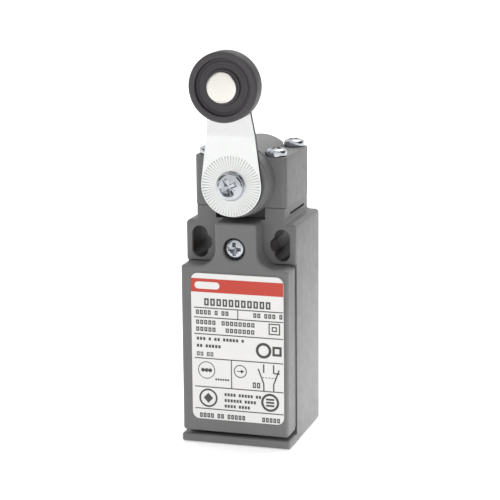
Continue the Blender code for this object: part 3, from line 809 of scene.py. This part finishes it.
def make_cover():
    cover = cover_body("cover_moulding", (-HALF, TAB_REAR), COVER_EDGE, True)
    join(cover, cover_body("skirt", (TAB_REAR - PAST, COVER_REAR), 0, False))
    inner, clear = COVER_HALF - COVER_WALL, COVER_REAR + PAST
    cut(cover, block("hollow", (-inner, inner), (HOLLOW_FRONT, clear), (4.7, 47.0), 0.4))
    for side in (-1, 1):
        knuckle = side_span(side, KNUCKLE_INNER, KNUCKLE_OUTER)
        knuckle_zs = (COVER_BOTTOM + 0.8, PIN_Z + PIN_EYE)
        join(cover, block("knuckle", knuckle, (HOLLOW_FRONT - 0.5, PIN_Y + PIN_EYE), knuckle_zs))
        notch = side_span(side, ARM_INNER - ARM_ROOM, ARM_OUTER + ARM_ROOM)
        cut(cover, block("arm_notch", notch, (HOLLOW_FRONT, clear), (2.5, 5.0)))
    cut(cover, pin_hole())
    cut(cover, block("heel", (-16, 16), (EAR_Y, clear), (2.5, 4.4)))
    recess = [(0, 16), (3.35, 16), (3.35, 15), (3.0, 14.65), (3.0, 12.2),
              (THREAD_RADIUS, 12.2), (THREAD_RADIUS, 8), (0, 8)]
    cut(cover, turned("screw_recess", recess, "Y", (0, 0, COVER_SCREW_Z), 64))
    return cover


cover = make_cover()
hand_over(cover, "cover", body_plastic, "body_plastic", "cover")
print("cover:", len(cover.data.polygons), "faces")

# %% [markdown]
# ## Head
# The head turns the lever's swing into a push. It is a block with a round back over the shaft
# bore and a boss in front. The block's roof is drawn in the XZ plane, where the round back runs
# into the flat shoulders by a small hollow radius, and is then pulled out along Y.

# %% Head outlines
HEAD_BOTTOM = 63.5
HEAD_SKIRT = 63.24
HEAD_TOP = 76.5
HEAD_HALF = bench_box("head_body")[1].x
DOME_RADIUS = 9.6
DOME_HOLLOW = 1.2
DOME_REAR = 11.3
BOSS_FRONT = 14.6
CAM_ROOM = 6.2


def roof_outline():
    """The round back with its hollow feet, closed below inside the block."""
    centre_rise = HEAD_TOP - SHAFT_Z + DOME_HOLLOW
    foot_x = math.sqrt((DOME_RADIUS + DOME_HOLLOW) ** 2 - centre_rise ** 2)
    lean = math.degrees(math.atan2(centre_rise, foot_x))
    right = [(foot_x, HEAD_TOP - 2), (foot_x, HEAD_TOP)]
    right += arc((foot_x, HEAD_TOP + DOME_HOLLOW), DOME_HOLLOW, 270, 180 + lean, 6)[1:]
    dome = arc((0, SHAFT_Z), DOME_RADIUS, lean, 180 - lean, 40)
    return right + dome[1:-1] + [(-x, z) for x, z in reversed(right)]


def boss_profile():
    """The boss in front, with a round front edge and a groove behind the lever."""
    front_radius, edge = 8.65, 0.45
    rim = [(front_radius - edge + edge * math.sin(a), BOSS_FRONT - edge + edge * math.cos(a))
           for a in (math.pi / 2 * i / 6 for i in range(7))]
    groove = [(8.75, 13.1), (8.6, 12.95), (8.6, 12.6), (8.95, 12.3)]
    return [(0, BOSS_FRONT)] + rim + groove + [(9.25, 9.1), (9.4, 8.7), (9.4, 6.5), (0, 6.5)]


print("roof:", len(roof_outline()), "points, boss:", len(boss_profile()), "points")

# %% [markdown]
# The head is joined from block, roof and boss, and then bored for the bush, the shaft and the
# four screws. The cam's room is a round vault above and a square well below.

# %% Build the head


def make_head():
    shaft_centre = (0, 0, SHAFT_Z)
    head = tower("head_moulding", (-HEAD_HALF, HEAD_HALF), (EAR_Y, NECK_REAR), (HEAD_SKIRT, HEAD_TOP),
                 (1.6, 1.6, 1.3, 1.3), 0.15, 0.35)
    roof = from_rings("roof", [[(x, y, z) for x, z in roof_outline()] for y in (EAR_Y, DOME_REAR)])
    join(head, roof, turned("boss", boss_profile(), "Y", shaft_centre, 128))
    cut(head, block("gasket_seat", (-11.8, 11.8), (-5.2, 13.7), (60, HEAD_BOTTOM)))
    cut(head,
        rod("vault", CAM_ROOM, (-10.4, 2.4), "Y", shaft_centre, 64),
        block("cam_chamber", (-CAM_ROOM, CAM_ROOM), (-2.4, 10.4), (58, SHAFT_Z)),
        rod("bush_bore", 5.5, (2, 16), "Y", shaft_centre, 64),
        rod("rear_bore", 2.7, (-12.8, -9), "Y", shaft_centre))
    seat_radius, above, below = 3.05, 83, 62
    bore = [(0, above), (seat_radius, above), (seat_radius, HEAD_TOP), (PILOT_RADIUS, HEAD_TOP),
            (PILOT_RADIUS, below), (0, below)]
    for x in HEAD_SCREW_XS:
        for y in HEAD_SCREW_YS:
            cut(head, turned("screw_bore", bore, "Z", (x, y, 0), 48))
    return head


head = make_head()
hand_over(head, "housing", body_plastic, "body_plastic", "head_body")
print("head:", len(head.data.polygons), "faces")

# %% [markdown]
# ## Screws
# Every visible screw is a pan head with a tapered cross and four thin marks between its arms,
# which tell the fitter which driver to use. A bump could draw the cross, but it would look flat
# from the side. So one function cuts a real recess at the scale of each head, and the big lever
# screw and the small terminal screws stay alike.

# %% Screw shape


def cross_cutter(radius, top, depth):
    """Four tapered arms that meet in a pointed middle."""
    reach, half = radius * 0.72, radius * 0.19
    arms = []
    for turn in (0, 90):
        spin = Matrix.Rotation(math.radians(turn), 4, "Z")
        rings = []
        for z, share in ((top + 0.5, 1.15), (top - depth * 0.5, 0.7), (top - depth, 0.1)):
            a, b = reach * share, half * (0.25 + 0.75 * share)
            rings.append([spin @ Vector((x, y, z)) for x, y in ((a, b), (-a, b), (-a, -b), (a, -b))])
        arms.append(from_rings("arm", rings))
    join(arms[0], arms[1])
    return arms[0]


def mark_cutter(radius, top):
    """Four short radial scratches between the arms of the cross."""
    rays = None
    for turn in (45, 135):
        spin = Matrix.Rotation(math.radians(turn), 4, "Z")
        for sign in (-1, 1):
            half, above, deep = radius * 0.03, top + 0.3, top - 0.12
            rings = []
            for x in (sign * radius * 0.24, sign * radius * 0.7):
                ring = [(x, half, above), (x, 0, deep), (x, -half, above)]
                rings.append([spin @ Vector(point) for point in ring])
            ray = from_rings("ray", rings)
            if rays is None:
                rays = ray
            else:
                join(rays, ray)
    return rays


def pan_head(name, radius, height, shank, length):
    """A cross-recessed screw whose head stands on z = 0, with its shank below."""
    fullness, shoulder, point = 0.7, 0.42, 0.35
    dome = [(0, height)]
    for turn in (8, 20, 34, 48, 60, 70, 78, 84, 89.9):
        a = math.radians(turn)
        rise = shoulder + (1 - shoulder) * math.cos(a) ** fullness
        dome.append((radius * math.sin(a) ** fullness, height * rise))
    profile = dome + [(radius, height * 0.14), (radius - 0.12, 0), (shank, 0),
                      (shank, point - length), (shank - point, -length), (0, -length)]
    screw = turned(name, profile, "Z", steps=72)
    cut(screw, cross_cutter(radius, height, height * 0.72), mark_cutter(radius, height * 0.97))
    return screw


print("screw shape ready")

# %% [markdown]
# The solid design already says where each screw stands and how long it is. So the fine screw
# reads its place from the solid it replaces. Screws of one size share one shape, and each is
# turned by another angle, because no fitter leaves all the crosses in line.

# %% Set the screws
SCREWS = {}


def screw_at(node, radius, height, shank, body, spin=0.0):
    """Stands a fine screw where the solid's screw is: heads face up or forward."""
    low, high = bench_box(node)
    size = high - low
    upright = size.z > size.y
    length = (size.z if upright else size.y) - height
    key = (radius, height, shank, round(length, 2))
    if key not in SCREWS:
        SCREWS[key] = pan_head("screw_master", *key)
        bpy.context.scene.collection.objects.unlink(SCREWS[key])
    screw = place_in_scene(f"fine_{node}", SCREWS[key].data.copy())
    middle = (low + high) / 2
    if upright:
        seat = Vector((middle.x, middle.y, high.z - height))
    else:
        seat = Vector((middle.x, low.y + height, middle.z))
    turn = AXIS_TURN["Z" if upright else "Y"] @ Matrix.Rotation(math.radians(spin), 4, "Z")
    screw.data.transform(Matrix.Translation(seat) @ turn)
    return hand_over(screw, body, screw_zinc, "zinc", node)


for number, spin in zip(range(1, 5), (20, -35, 10, 50)):
    screw_at(f"head_screw_{number}", 2.75, 2.0, 1.4, "housing", spin)
screw_at("cover_screw", 2.7, 2.1, 1.3, "cover", 0)
screw_at("lever_screw", 3.6, 1.9, 1.9, "lever", 25)
screw_at("contact_base_screw", 2.6, 1.7, 1.4, "housing", 15)
for place, spin in (("no_left", 5), ("no_right", 40), ("nc_left", -20), ("nc_right", 70)):
    screw_at(f"terminal_screw_{place}", 2.4, 1.7, 1.4, "housing", spin)
for master in SCREWS.values():
    bpy.data.objects.remove(master, do_unlink=True)
print(len(SCREWS), "kinds of screw")

# %% [markdown]
# ## Lever
# The lever is stamped from sheet: a round foot with radial serrations that lock its angle on
# the shaft, and a tapering arm that steps forward to carry the roller. The serrations are real
# grooves, cut by one Boolean with a fan of thin wedges. The step is not modelled flat on: the
# arm is sliced across and its slices are moved forward, as a press brake would.

# %% Lever outline and serrations
LEVER_BACK, LEVER_SHEET = 15.16, 1.5
LEVER_FOOT, LEVER_TIP = 8.05, 4.8
BEND_LOW, BEND_HIGH, BEND_STEP = 82.8, 88.5, 1.24
BEND_EASE, BEND_SLICES = 0.4, 20
SERRATIONS = 60


def lever_outline(inset=0.0):
    """Two circles joined by their tangents, pulled in by `inset`."""
    lean = math.degrees(math.asin((LEVER_FOOT - LEVER_TIP) / (ROLLER_Z - SHAFT_Z)))
    foot = arc((0, SHAFT_Z), LEVER_FOOT - inset, 180 - lean, 360 + lean, 72)
    tip = arc((0, ROLLER_Z), LEVER_TIP - inset, lean, 180 - lean, 36)
    return foot + tip


def serration_fan(front):
    """Thin wedges that point at the shaft, wider outside, as one cutter."""
    shape = bmesh.new()
    middle, clear = Vector((0, 0, SHAFT_Z)), front - 0.3
    for i in range(SERRATIONS):
        spin = Matrix.Rotation(2 * math.pi * i / SERRATIONS, 4, "Y")
        ends = []
        for radius, half, deep in ((4.25, 0.18, 0.06), (7.75, 0.44, 0.16)):
            section = ((-half, clear), (half, clear), (0, front + deep))
            ends.append([shape.verts.new(middle + spin @ Vector((x, y, radius))) for x, y in section])
        inner, outer = ends
        shape.faces.new(inner)
        shape.faces.new(list(reversed(outer)))
        for j in range(3):
            k = (j + 1) % 3
            shape.faces.new((inner[k], inner[j], outer[j], outer[k]))
    bmesh.ops.recalc_face_normals(shape, faces=shape.faces)
    mesh = bpy.data.meshes.new("fan")
    shape.to_mesh(mesh)
    shape.free()
    return place_in_scene("fan", mesh)


print("lever outline:", len(lever_outline()), "points")

# %% Stamp and bend the lever


def bend_arm(piece):
    """Moves the arm forward between the two bend lines, easing in and out of each bend."""
    shape = bmesh.new()
    shape.from_mesh(piece.data)
    span = BEND_HIGH - BEND_LOW
    for i in range(BEND_SLICES + 1):
        height = BEND_LOW - BEND_EASE + (span + 2 * BEND_EASE) * i / BEND_SLICES
        bmesh.ops.bisect_plane(shape, geom=shape.verts[:] + shape.edges[:] + shape.faces[:],
                               plane_co=(0, 0, height), plane_no=(0, 0, 1), dist=1e-4)
    for vertex in shape.verts:
        vertex.co.y -= BEND_STEP * ramp(vertex.co.z - BEND_LOW, span, BEND_EASE)
    shape.to_mesh(piece.data)
    shape.free()


def ramp(rise, span, ease):
    """0 below, 1 above, straight between, with a parabola of half width `ease` at each end."""
    def corner(t):
        if t <= -ease:
            return 0.0
        return t if t >= ease else (t + ease) ** 2 / (4 * ease)
    return (corner(rise) - corner(rise - span)) / span


def make_lever():
    front, back = -LEVER_BACK - LEVER_SHEET, -LEVER_BACK
    edge = 0.12
    stations = [(front, edge), (front + edge * 0.3, edge * 0.3), (front + edge, 0),
                (back - edge, 0), (back, edge)]
    rings = [[(x, y, z) for x, z in lever_outline(inset)] for y, inset in stations]
    lever = from_rings("lever_stamping", rings)
    cut(lever, serration_fan(front))
    cut(lever, rod("foot_hole", 2.3, (14, 18), "Y", (0, 0, SHAFT_Z), 48),
        rod("tip_hole", 2.1, (14, 18), "Y", (0, 0, ROLLER_Z), 48))
    bend_arm(lever)
    return lever


def make_lever_washer():
    profile = [(2.2, 17.2), (3.75, 17.25), (3.9, 17.1), (3.9, 16.8), (3.8, 16.72), (2.2, 16.72)]
    return turned("fine_lever_washer", profile, "Y", (0, 0, SHAFT_Z))


lever = make_lever()
hand_over(lever, "lever", lever_zinc, "zinc", "lever", smooth=20)
hand_over(make_lever_washer(), "lever", screw_zinc, "zinc", "lever_washer")
print("lever:", len(lever.data.polygons), "faces with", SERRATIONS, "serrations")

# %% [markdown]
# ## Roller and its pin
# The roller is moulded in hard plastic with a sunken web and a raised hub, and runs on a bright
# pin that is riveted into the lever. Both are turned shapes, so a profile says everything, and
# a small blend at each corner of the profile is cheaper than a bevel on the finished ring.

# %% Build the roller and its pin


def round_profile(points, radius, count=4):
    """Replaces each corner of a closed profile with a curve, shorter where the sides are short."""
    result = []
    for i, point in enumerate(points):
        here = Vector(point)
        into = Vector(points[i - 1]) - here
        out = Vector(points[(i + 1) % len(points)]) - here
        reach = min(radius, into.length * 0.45, out.length * 0.45)
        start, stop = here + into.normalized() * reach, here + out.normalized() * reach
        for k in range(count + 1):
            t = k / count
            result.append(tuple(start * (1 - t) ** 2 + here * 2 * t * (1 - t) + stop * t ** 2))
    return result


def make_roller():
    profile = [(2.15, 23.0), (4.5, 23.0), (4.62, 22.1), (5.6, 22.1), (5.7, 22.0), (6.4, 22.0),
               (6.5, 21.85), (7.15, 21.85), (7.3, 23.2), (8.5, 23.2), (9.0, 22.75),
               (9.0, 18.3), (7.3, 18.3), (7.2, 19.3), (4.7, 19.3), (4.6, 18.3), (2.15, 18.3)]
    roller = turned("roller_moulding", round_profile(profile, 0.25), "Y", (0, 0, ROLLER_Z), 128)
    return hand_over(roller, "roller", roller_plastic, "roller_plastic", "roller", smooth=40)


def make_pin():
    face = [(0, 24.05), (3.3, 24.02), (3.6, 23.97), (3.8, 23.86), (3.92, 23.68), (3.95, 23.5)]
    stem = [(3.95, 23.32), (3.9, 23.3), (2.0, 23.3), (2.0, 16.1)]
    rivet = [(2.85, 16.1), (2.9, 15.95), (2.6, 15.55), (0, 15.42)]
    pin = turned("roller_rivet", face + stem + rivet, "Y", (0, 0, ROLLER_Z), 96)
    return hand_over(pin, "lever", pin_nickel, "nickel", "roller_pin")


roller = make_roller()
pin = make_pin()
print("roller:", len(roller.data.polygons), "faces, its pin:", len(pin.data.polygons))

# %% [markdown]
# ## Nameplate
# The nameplate is an off-white film with rounded corners. Its print is plain ink: a red band,
# ruled lines, rows of blank cells in place of words, plain rings and squares in place of marks,
# and the wiring symbol of one opening and one closing contact. An image could carry all of it,
# but drawn shapes stay sharp at any distance, so the ink is a thin layer laid on the film.

# %% Film of the nameplate
plate_low, plate_high = bench_box("nameplate")
FILM_FRONT = plate_low.y + 0.03
INK_FRONT = plate_low.y
INK_SUNK = 0.005
FILM_MARGIN = 0.28


def label_outline(inset=0.0, radius=1.9):
    low = (plate_low.x + FILM_MARGIN + inset, plate_low.z + FILM_MARGIN + inset)
    high = (plate_high.x - inset, plate_high.z - inset)
    return rounded_outline(low, high, (radius - inset,) * 4, 10)


def make_film():
    stations = [(FILM_FRONT, 0.05), (FILM_FRONT + 0.05, 0), (plate_high.y, 0)]
    rings = [[(x, y, z) for x, z in label_outline(inset)] for y, inset in stations]
    return from_rings("nameplate_film", rings)


film = make_film()
hand_over(film, "cover", label_film, "label", "nameplate")
print(f"film {plate_high.x - plate_low.x:.1f} by {plate_high.z - plate_low.z:.1f} mm")

# %% [markdown]
# One object per letter or line would be hard to keep in order. So a small class collects all the
# shapes of one ink, as a printing screen does, and makes a single mesh of them at the end.

# %% A screen for one ink


class Print:
    """Collects flat inked shapes on the film into one mesh."""

    def __init__(self, name, front=INK_FRONT):
        self.name = name
        self.front = front
        self.shape = bmesh.new()

    def patch(self, outline):
        front, back = [[self.shape.verts.new((x, y, z)) for x, z in outline]
                       for y in (self.front, FILM_FRONT - INK_SUNK)]
        count = len(outline)
        for i in range(count):
            j = (i + 1) % count
            self.shape.faces.new((front[i], front[j], back[j], back[i]))
        self.shape.faces.new(list(reversed(front)))
        self.shape.faces.new(back)

    def bar(self, x0, x1, z0, z1):
        self.patch([(x0, z0), (x1, z0), (x1, z1), (x0, z1)])

    def line(self, a, b, width):
        a, b = Vector(a), Vector(b)
        side = (b - a).orthogonal().normalized() * width / 2
        self.patch([tuple(p) for p in (a + side, b + side, b - side, a - side)])

    def ring(self, centre, radius, width, steps=40):
        """A ring of short segments that leave a hair of room between them."""
        for i in range(steps):
            a, b = 360 * i / steps, 360 * (i + 0.98) / steps
            inner = arc(centre, radius - width / 2, a, b, 1)
            outer = arc(centre, radius + width / 2, b, a, 1)
            self.patch(inner + outer)

    def frame(self, x0, x1, z0, z1, width):
        self.bar(x0, x1, z0, z0 + width)
        self.bar(x0, x1, z1 - width, z1)
        self.bar(x0, x0 + width, z0 + width, z1 - width)
        self.bar(x1 - width, x1, z0 + width, z1 - width)

    def words(self, x0, counts, z0, height, pitch, weight=None):
        """Words of blank cells, one count a word. They are solid, or hollow with a `weight`."""
        x = x0
        for count in counts:
            for _ in range(count):
                if weight:
                    self.frame(x, x + pitch * 0.74, z0, z0 + height, weight)
                else:
                    self.bar(x, x + pitch * 0.7, z0, z0 + height)
                x += pitch
            x += pitch * 0.75

    def done(self, finish):
        bmesh.ops.recalc_face_normals(self.shape, faces=self.shape.faces)
        mesh = bpy.data.meshes.new(self.name)
        self.shape.to_mesh(mesh)
        self.shape.free()
        hand_over(place_in_scene(self.name, mesh), "cover", finish, "label")


print("screen ready")

# %% [markdown]
# The band comes first and lies a hair lower than the blank badge on it, so that the two never
# share a plane. Then come the ruled lines and, field by field from the top, the black ink.

# %% Print the fields


def print_red_band():
    red = Print("nameplate_red_band", INK_FRONT + 0.01)
    red.bar(plate_low.x + FILM_MARGIN + 0.02, plate_high.x - 0.02, 41.3, 44.95)
    red.done(label_red)
    badge = Print("nameplate_badge")
    left, middle, half, length = plate_low.x + 1.3, 43.15, 0.95, 6.85
    left_end = arc((left + half, middle), half, 90, 270, 10)
    right_end = arc((left + length - half, middle), half, -90, 90, 10)
    badge.patch(left_end + right_end)
    badge.done(label_film)


RULES = (37.1, 34.5, 30.0, 23.4, 15.6, 9.6)
RULE_HALF = 0.13
LEFT, RIGHT = plate_low.x + 1.05, plate_high.x - 0.05


def print_ink():
    ink = Print("nameplate_ink")
    for z in RULES:
        ink.bar(LEFT, RIGHT, z - RULE_HALF, z + RULE_HALF)
    ink.bar(0.95, 1.2, RULES[1], RULES[0])
    ink.bar(-0.95, -0.7, RULES[4], RULES[3])
    print_ratings(ink)
    print_middle(ink)
    print_symbols(ink)
    print_foot(ink)
    ink.done(label_ink)


def print_ratings(ink):
    """The top fields: a large line, two small ones, and the double square of insulation."""
    ink.words(-8.1, (11,), 37.75, 1.95, 1.68, 0.42)
    ink.words(-10.4, (4, 1, 2), 35.3, 1.2, 1.08, 0.3)
    ink.words(5.3, (2, 3, 1), 35.3, 1.2, 1.08, 0.3)
    for z, x, count in ((32.65, -3.4, 8), (30.75, -2.3, 7)):
        ink.words(-10.4, (5,), z, 1.15, 1.12, 0.3)
        ink.words(x, (count,), z, 1.15, 1.16, 0.3)
    ink.frame(9.4, 12.5, 31.0, 34.0, 0.3)
    ink.frame(10.25, 11.65, 31.85, 33.15, 0.3)


def print_middle(ink):
    """Three short lines, and a plain ring and square."""
    ink.words(-10.3, (3, 1, 2, 5, 1), 28.35, 0.8, 0.88)
    ink.words(-10.3, (2, 5), 26.4, 0.8, 0.88)
    ink.words(-10.3, (2, 2), 24.05, 1.1, 1.0, 0.24)
    ink.ring((8.0, 26.6), 1.75, 0.72)
    ink.frame(10.4, 12.9, 25.3, 27.9, 0.62)


def print_symbols(ink):
    """The lower fields: plain rings, and the two-contact wiring symbol."""
    ink.ring((-7.7, 20.2), 2.25, 0.2)
    for i in range(3):
        ink.ring((-8.7 + i, 20.2), 0.28, 0.5, 12)
    ink.words(-5.3, (6,), 17.6, 0.5, 0.66)
    ink.ring((1.6, 20.5), 1.65, 0.24)
    ink.bar(0.6, 2.4, 20.4, 20.6)
    ink.patch([(1.8, 19.95), (2.65, 20.5), (1.8, 21.05)])
    for x, lean in ((8.0, -1.5), (10.7, 1.5)):
        ink.line((x, 22.9), (x, 20.6), 0.36)
        ink.line((x, 15.7), (x, 17.6), 0.36)
        ink.line((x, 17.6), (x + lean, 21.6), 0.36)
    ink.line((10.7, 20.6), (12.4, 20.6), 0.32)
    for i in range(5):
        ink.bar(7.6 + 0.85 * i, 8.1 + 0.85 * i, 19.2, 19.4)
    ink.words(5.0, (2,), 16.3, 1.5, 1.15, 0.3)


def print_foot(ink):
    """The last fields: a ring with a diamond, a ring with bars, and small lines."""
    ink.ring((-7.3, 12.6), 2.3, 0.48)
    ink.patch([(-7.3, 11.2), (-6.0, 12.6), (-7.3, 14.0), (-8.6, 12.6)])
    for z, counts in ((13.45, (4, 5, 2)), (11.85, (6, 4)), (10.3, (4, 4))):
        ink.words(-2.8, counts, z, 0.8, 0.82)
    ink.ring((9.7, 12.6), 2.15, 0.62)
    for z in (11.5, 12.35, 13.2):
        ink.bar(8.6, 10.8, z, z + 0.5)
    ink.words(-9.7, (4, 2, 5), 7.15, 1.25, 1.02, 0.3)
    ink.words(7.5, (5,), 7.15, 1.25, 1.02, 0.3)


print_red_band()
print_ink()
print("nameplate printed with", len(RULES), "ruled lines")

# %% [markdown]
# ## Inner pieces
# What the cover and head hide is already right in shape: gaskets, bush, shaft, plunger and the
# contact block. These solids stay and only get their finish and smooth shading. The springs are
# the exception: a coil shows its wire, so each is drawn again with a round section. The one
# under the plunger shortens when the plunger goes down, so it gets a mesh of its own.

# %% Finish the pieces that stay
STAYING = {
    "cover_gasket": black_rubber, "head_gasket": black_rubber, "shaft_seal": black_rubber,
    "cover_hinge_pin": turned_steel, "shaft": turned_steel, "shaft_clip": turned_steel,
    "shaft_bush": bush_bronze, "plunger": red_plastic, "contact_base": cream_plastic,
    "contact_carrier": carrier_plastic, "bridge_no": contact_silver, "bridge_nc": contact_silver,
}
for kind in ("no", "nc"):
    for side in ("left", "right"):
        STAYING[f"fixed_contact_{kind}_{side}"] = contact_brass
        STAYING[f"terminal_clamp_{kind}_{side}"] = screw_zinc

for node, finish in STAYING.items():
    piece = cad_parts[node]
    piece.data.materials.clear()
    piece.data.materials.append(finish)
    piece.data.shade_smooth()
    piece.data.set_sharp_from_angle(angle=math.radians(30))
print(len(STAYING), "solids keep their shape")

# %% Wind the springs
STEPS_A_TURN = 28
WIRE_SIDES = 10


def wind_spring(node, body, wire, turns):
    """A compression spring of wire radius `wire` with flat end turns, in the solid's own box."""
    low, high = bench_box(node)
    middle = (low + high) / 2
    radius = (high.x - low.x) / 2 - wire
    bottom, top = low.z + wire, high.z - wire
    flat, up = 0.5 / turns, Vector((0, 0, 1))
    rings = []
    for i in range(turns * STEPS_A_TURN + 1):
        share = i / (turns * STEPS_A_TURN)
        climb = min(max((share - flat) / (1 - 2 * flat), 0), 1)
        angle = 2 * math.pi * i / STEPS_A_TURN
        outward = Vector((math.cos(angle), math.sin(angle), 0))
        centre = Vector((middle.x, middle.y, bottom + (top - bottom) * climb)) + outward * radius
        rings.append([centre + (outward * math.cos(t) + up * math.sin(t)) * wire
                      for t in (2 * math.pi * k / WIRE_SIDES for k in range(WIRE_SIDES))])
    spring = from_rings(f"fine_{node}", rings)
    return hand_over(spring, body, spring_steel, "steel", node, smooth=50)


plunger_spring = wind_spring("plunger_spring", "housing", 0.4, 6)
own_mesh(plunger_spring)
wind_spring("bridge_no_spring", "carrier", 0.2, 5)
wind_spring("bridge_nc_spring", "carrier", 0.2, 5)
print("springs wound")
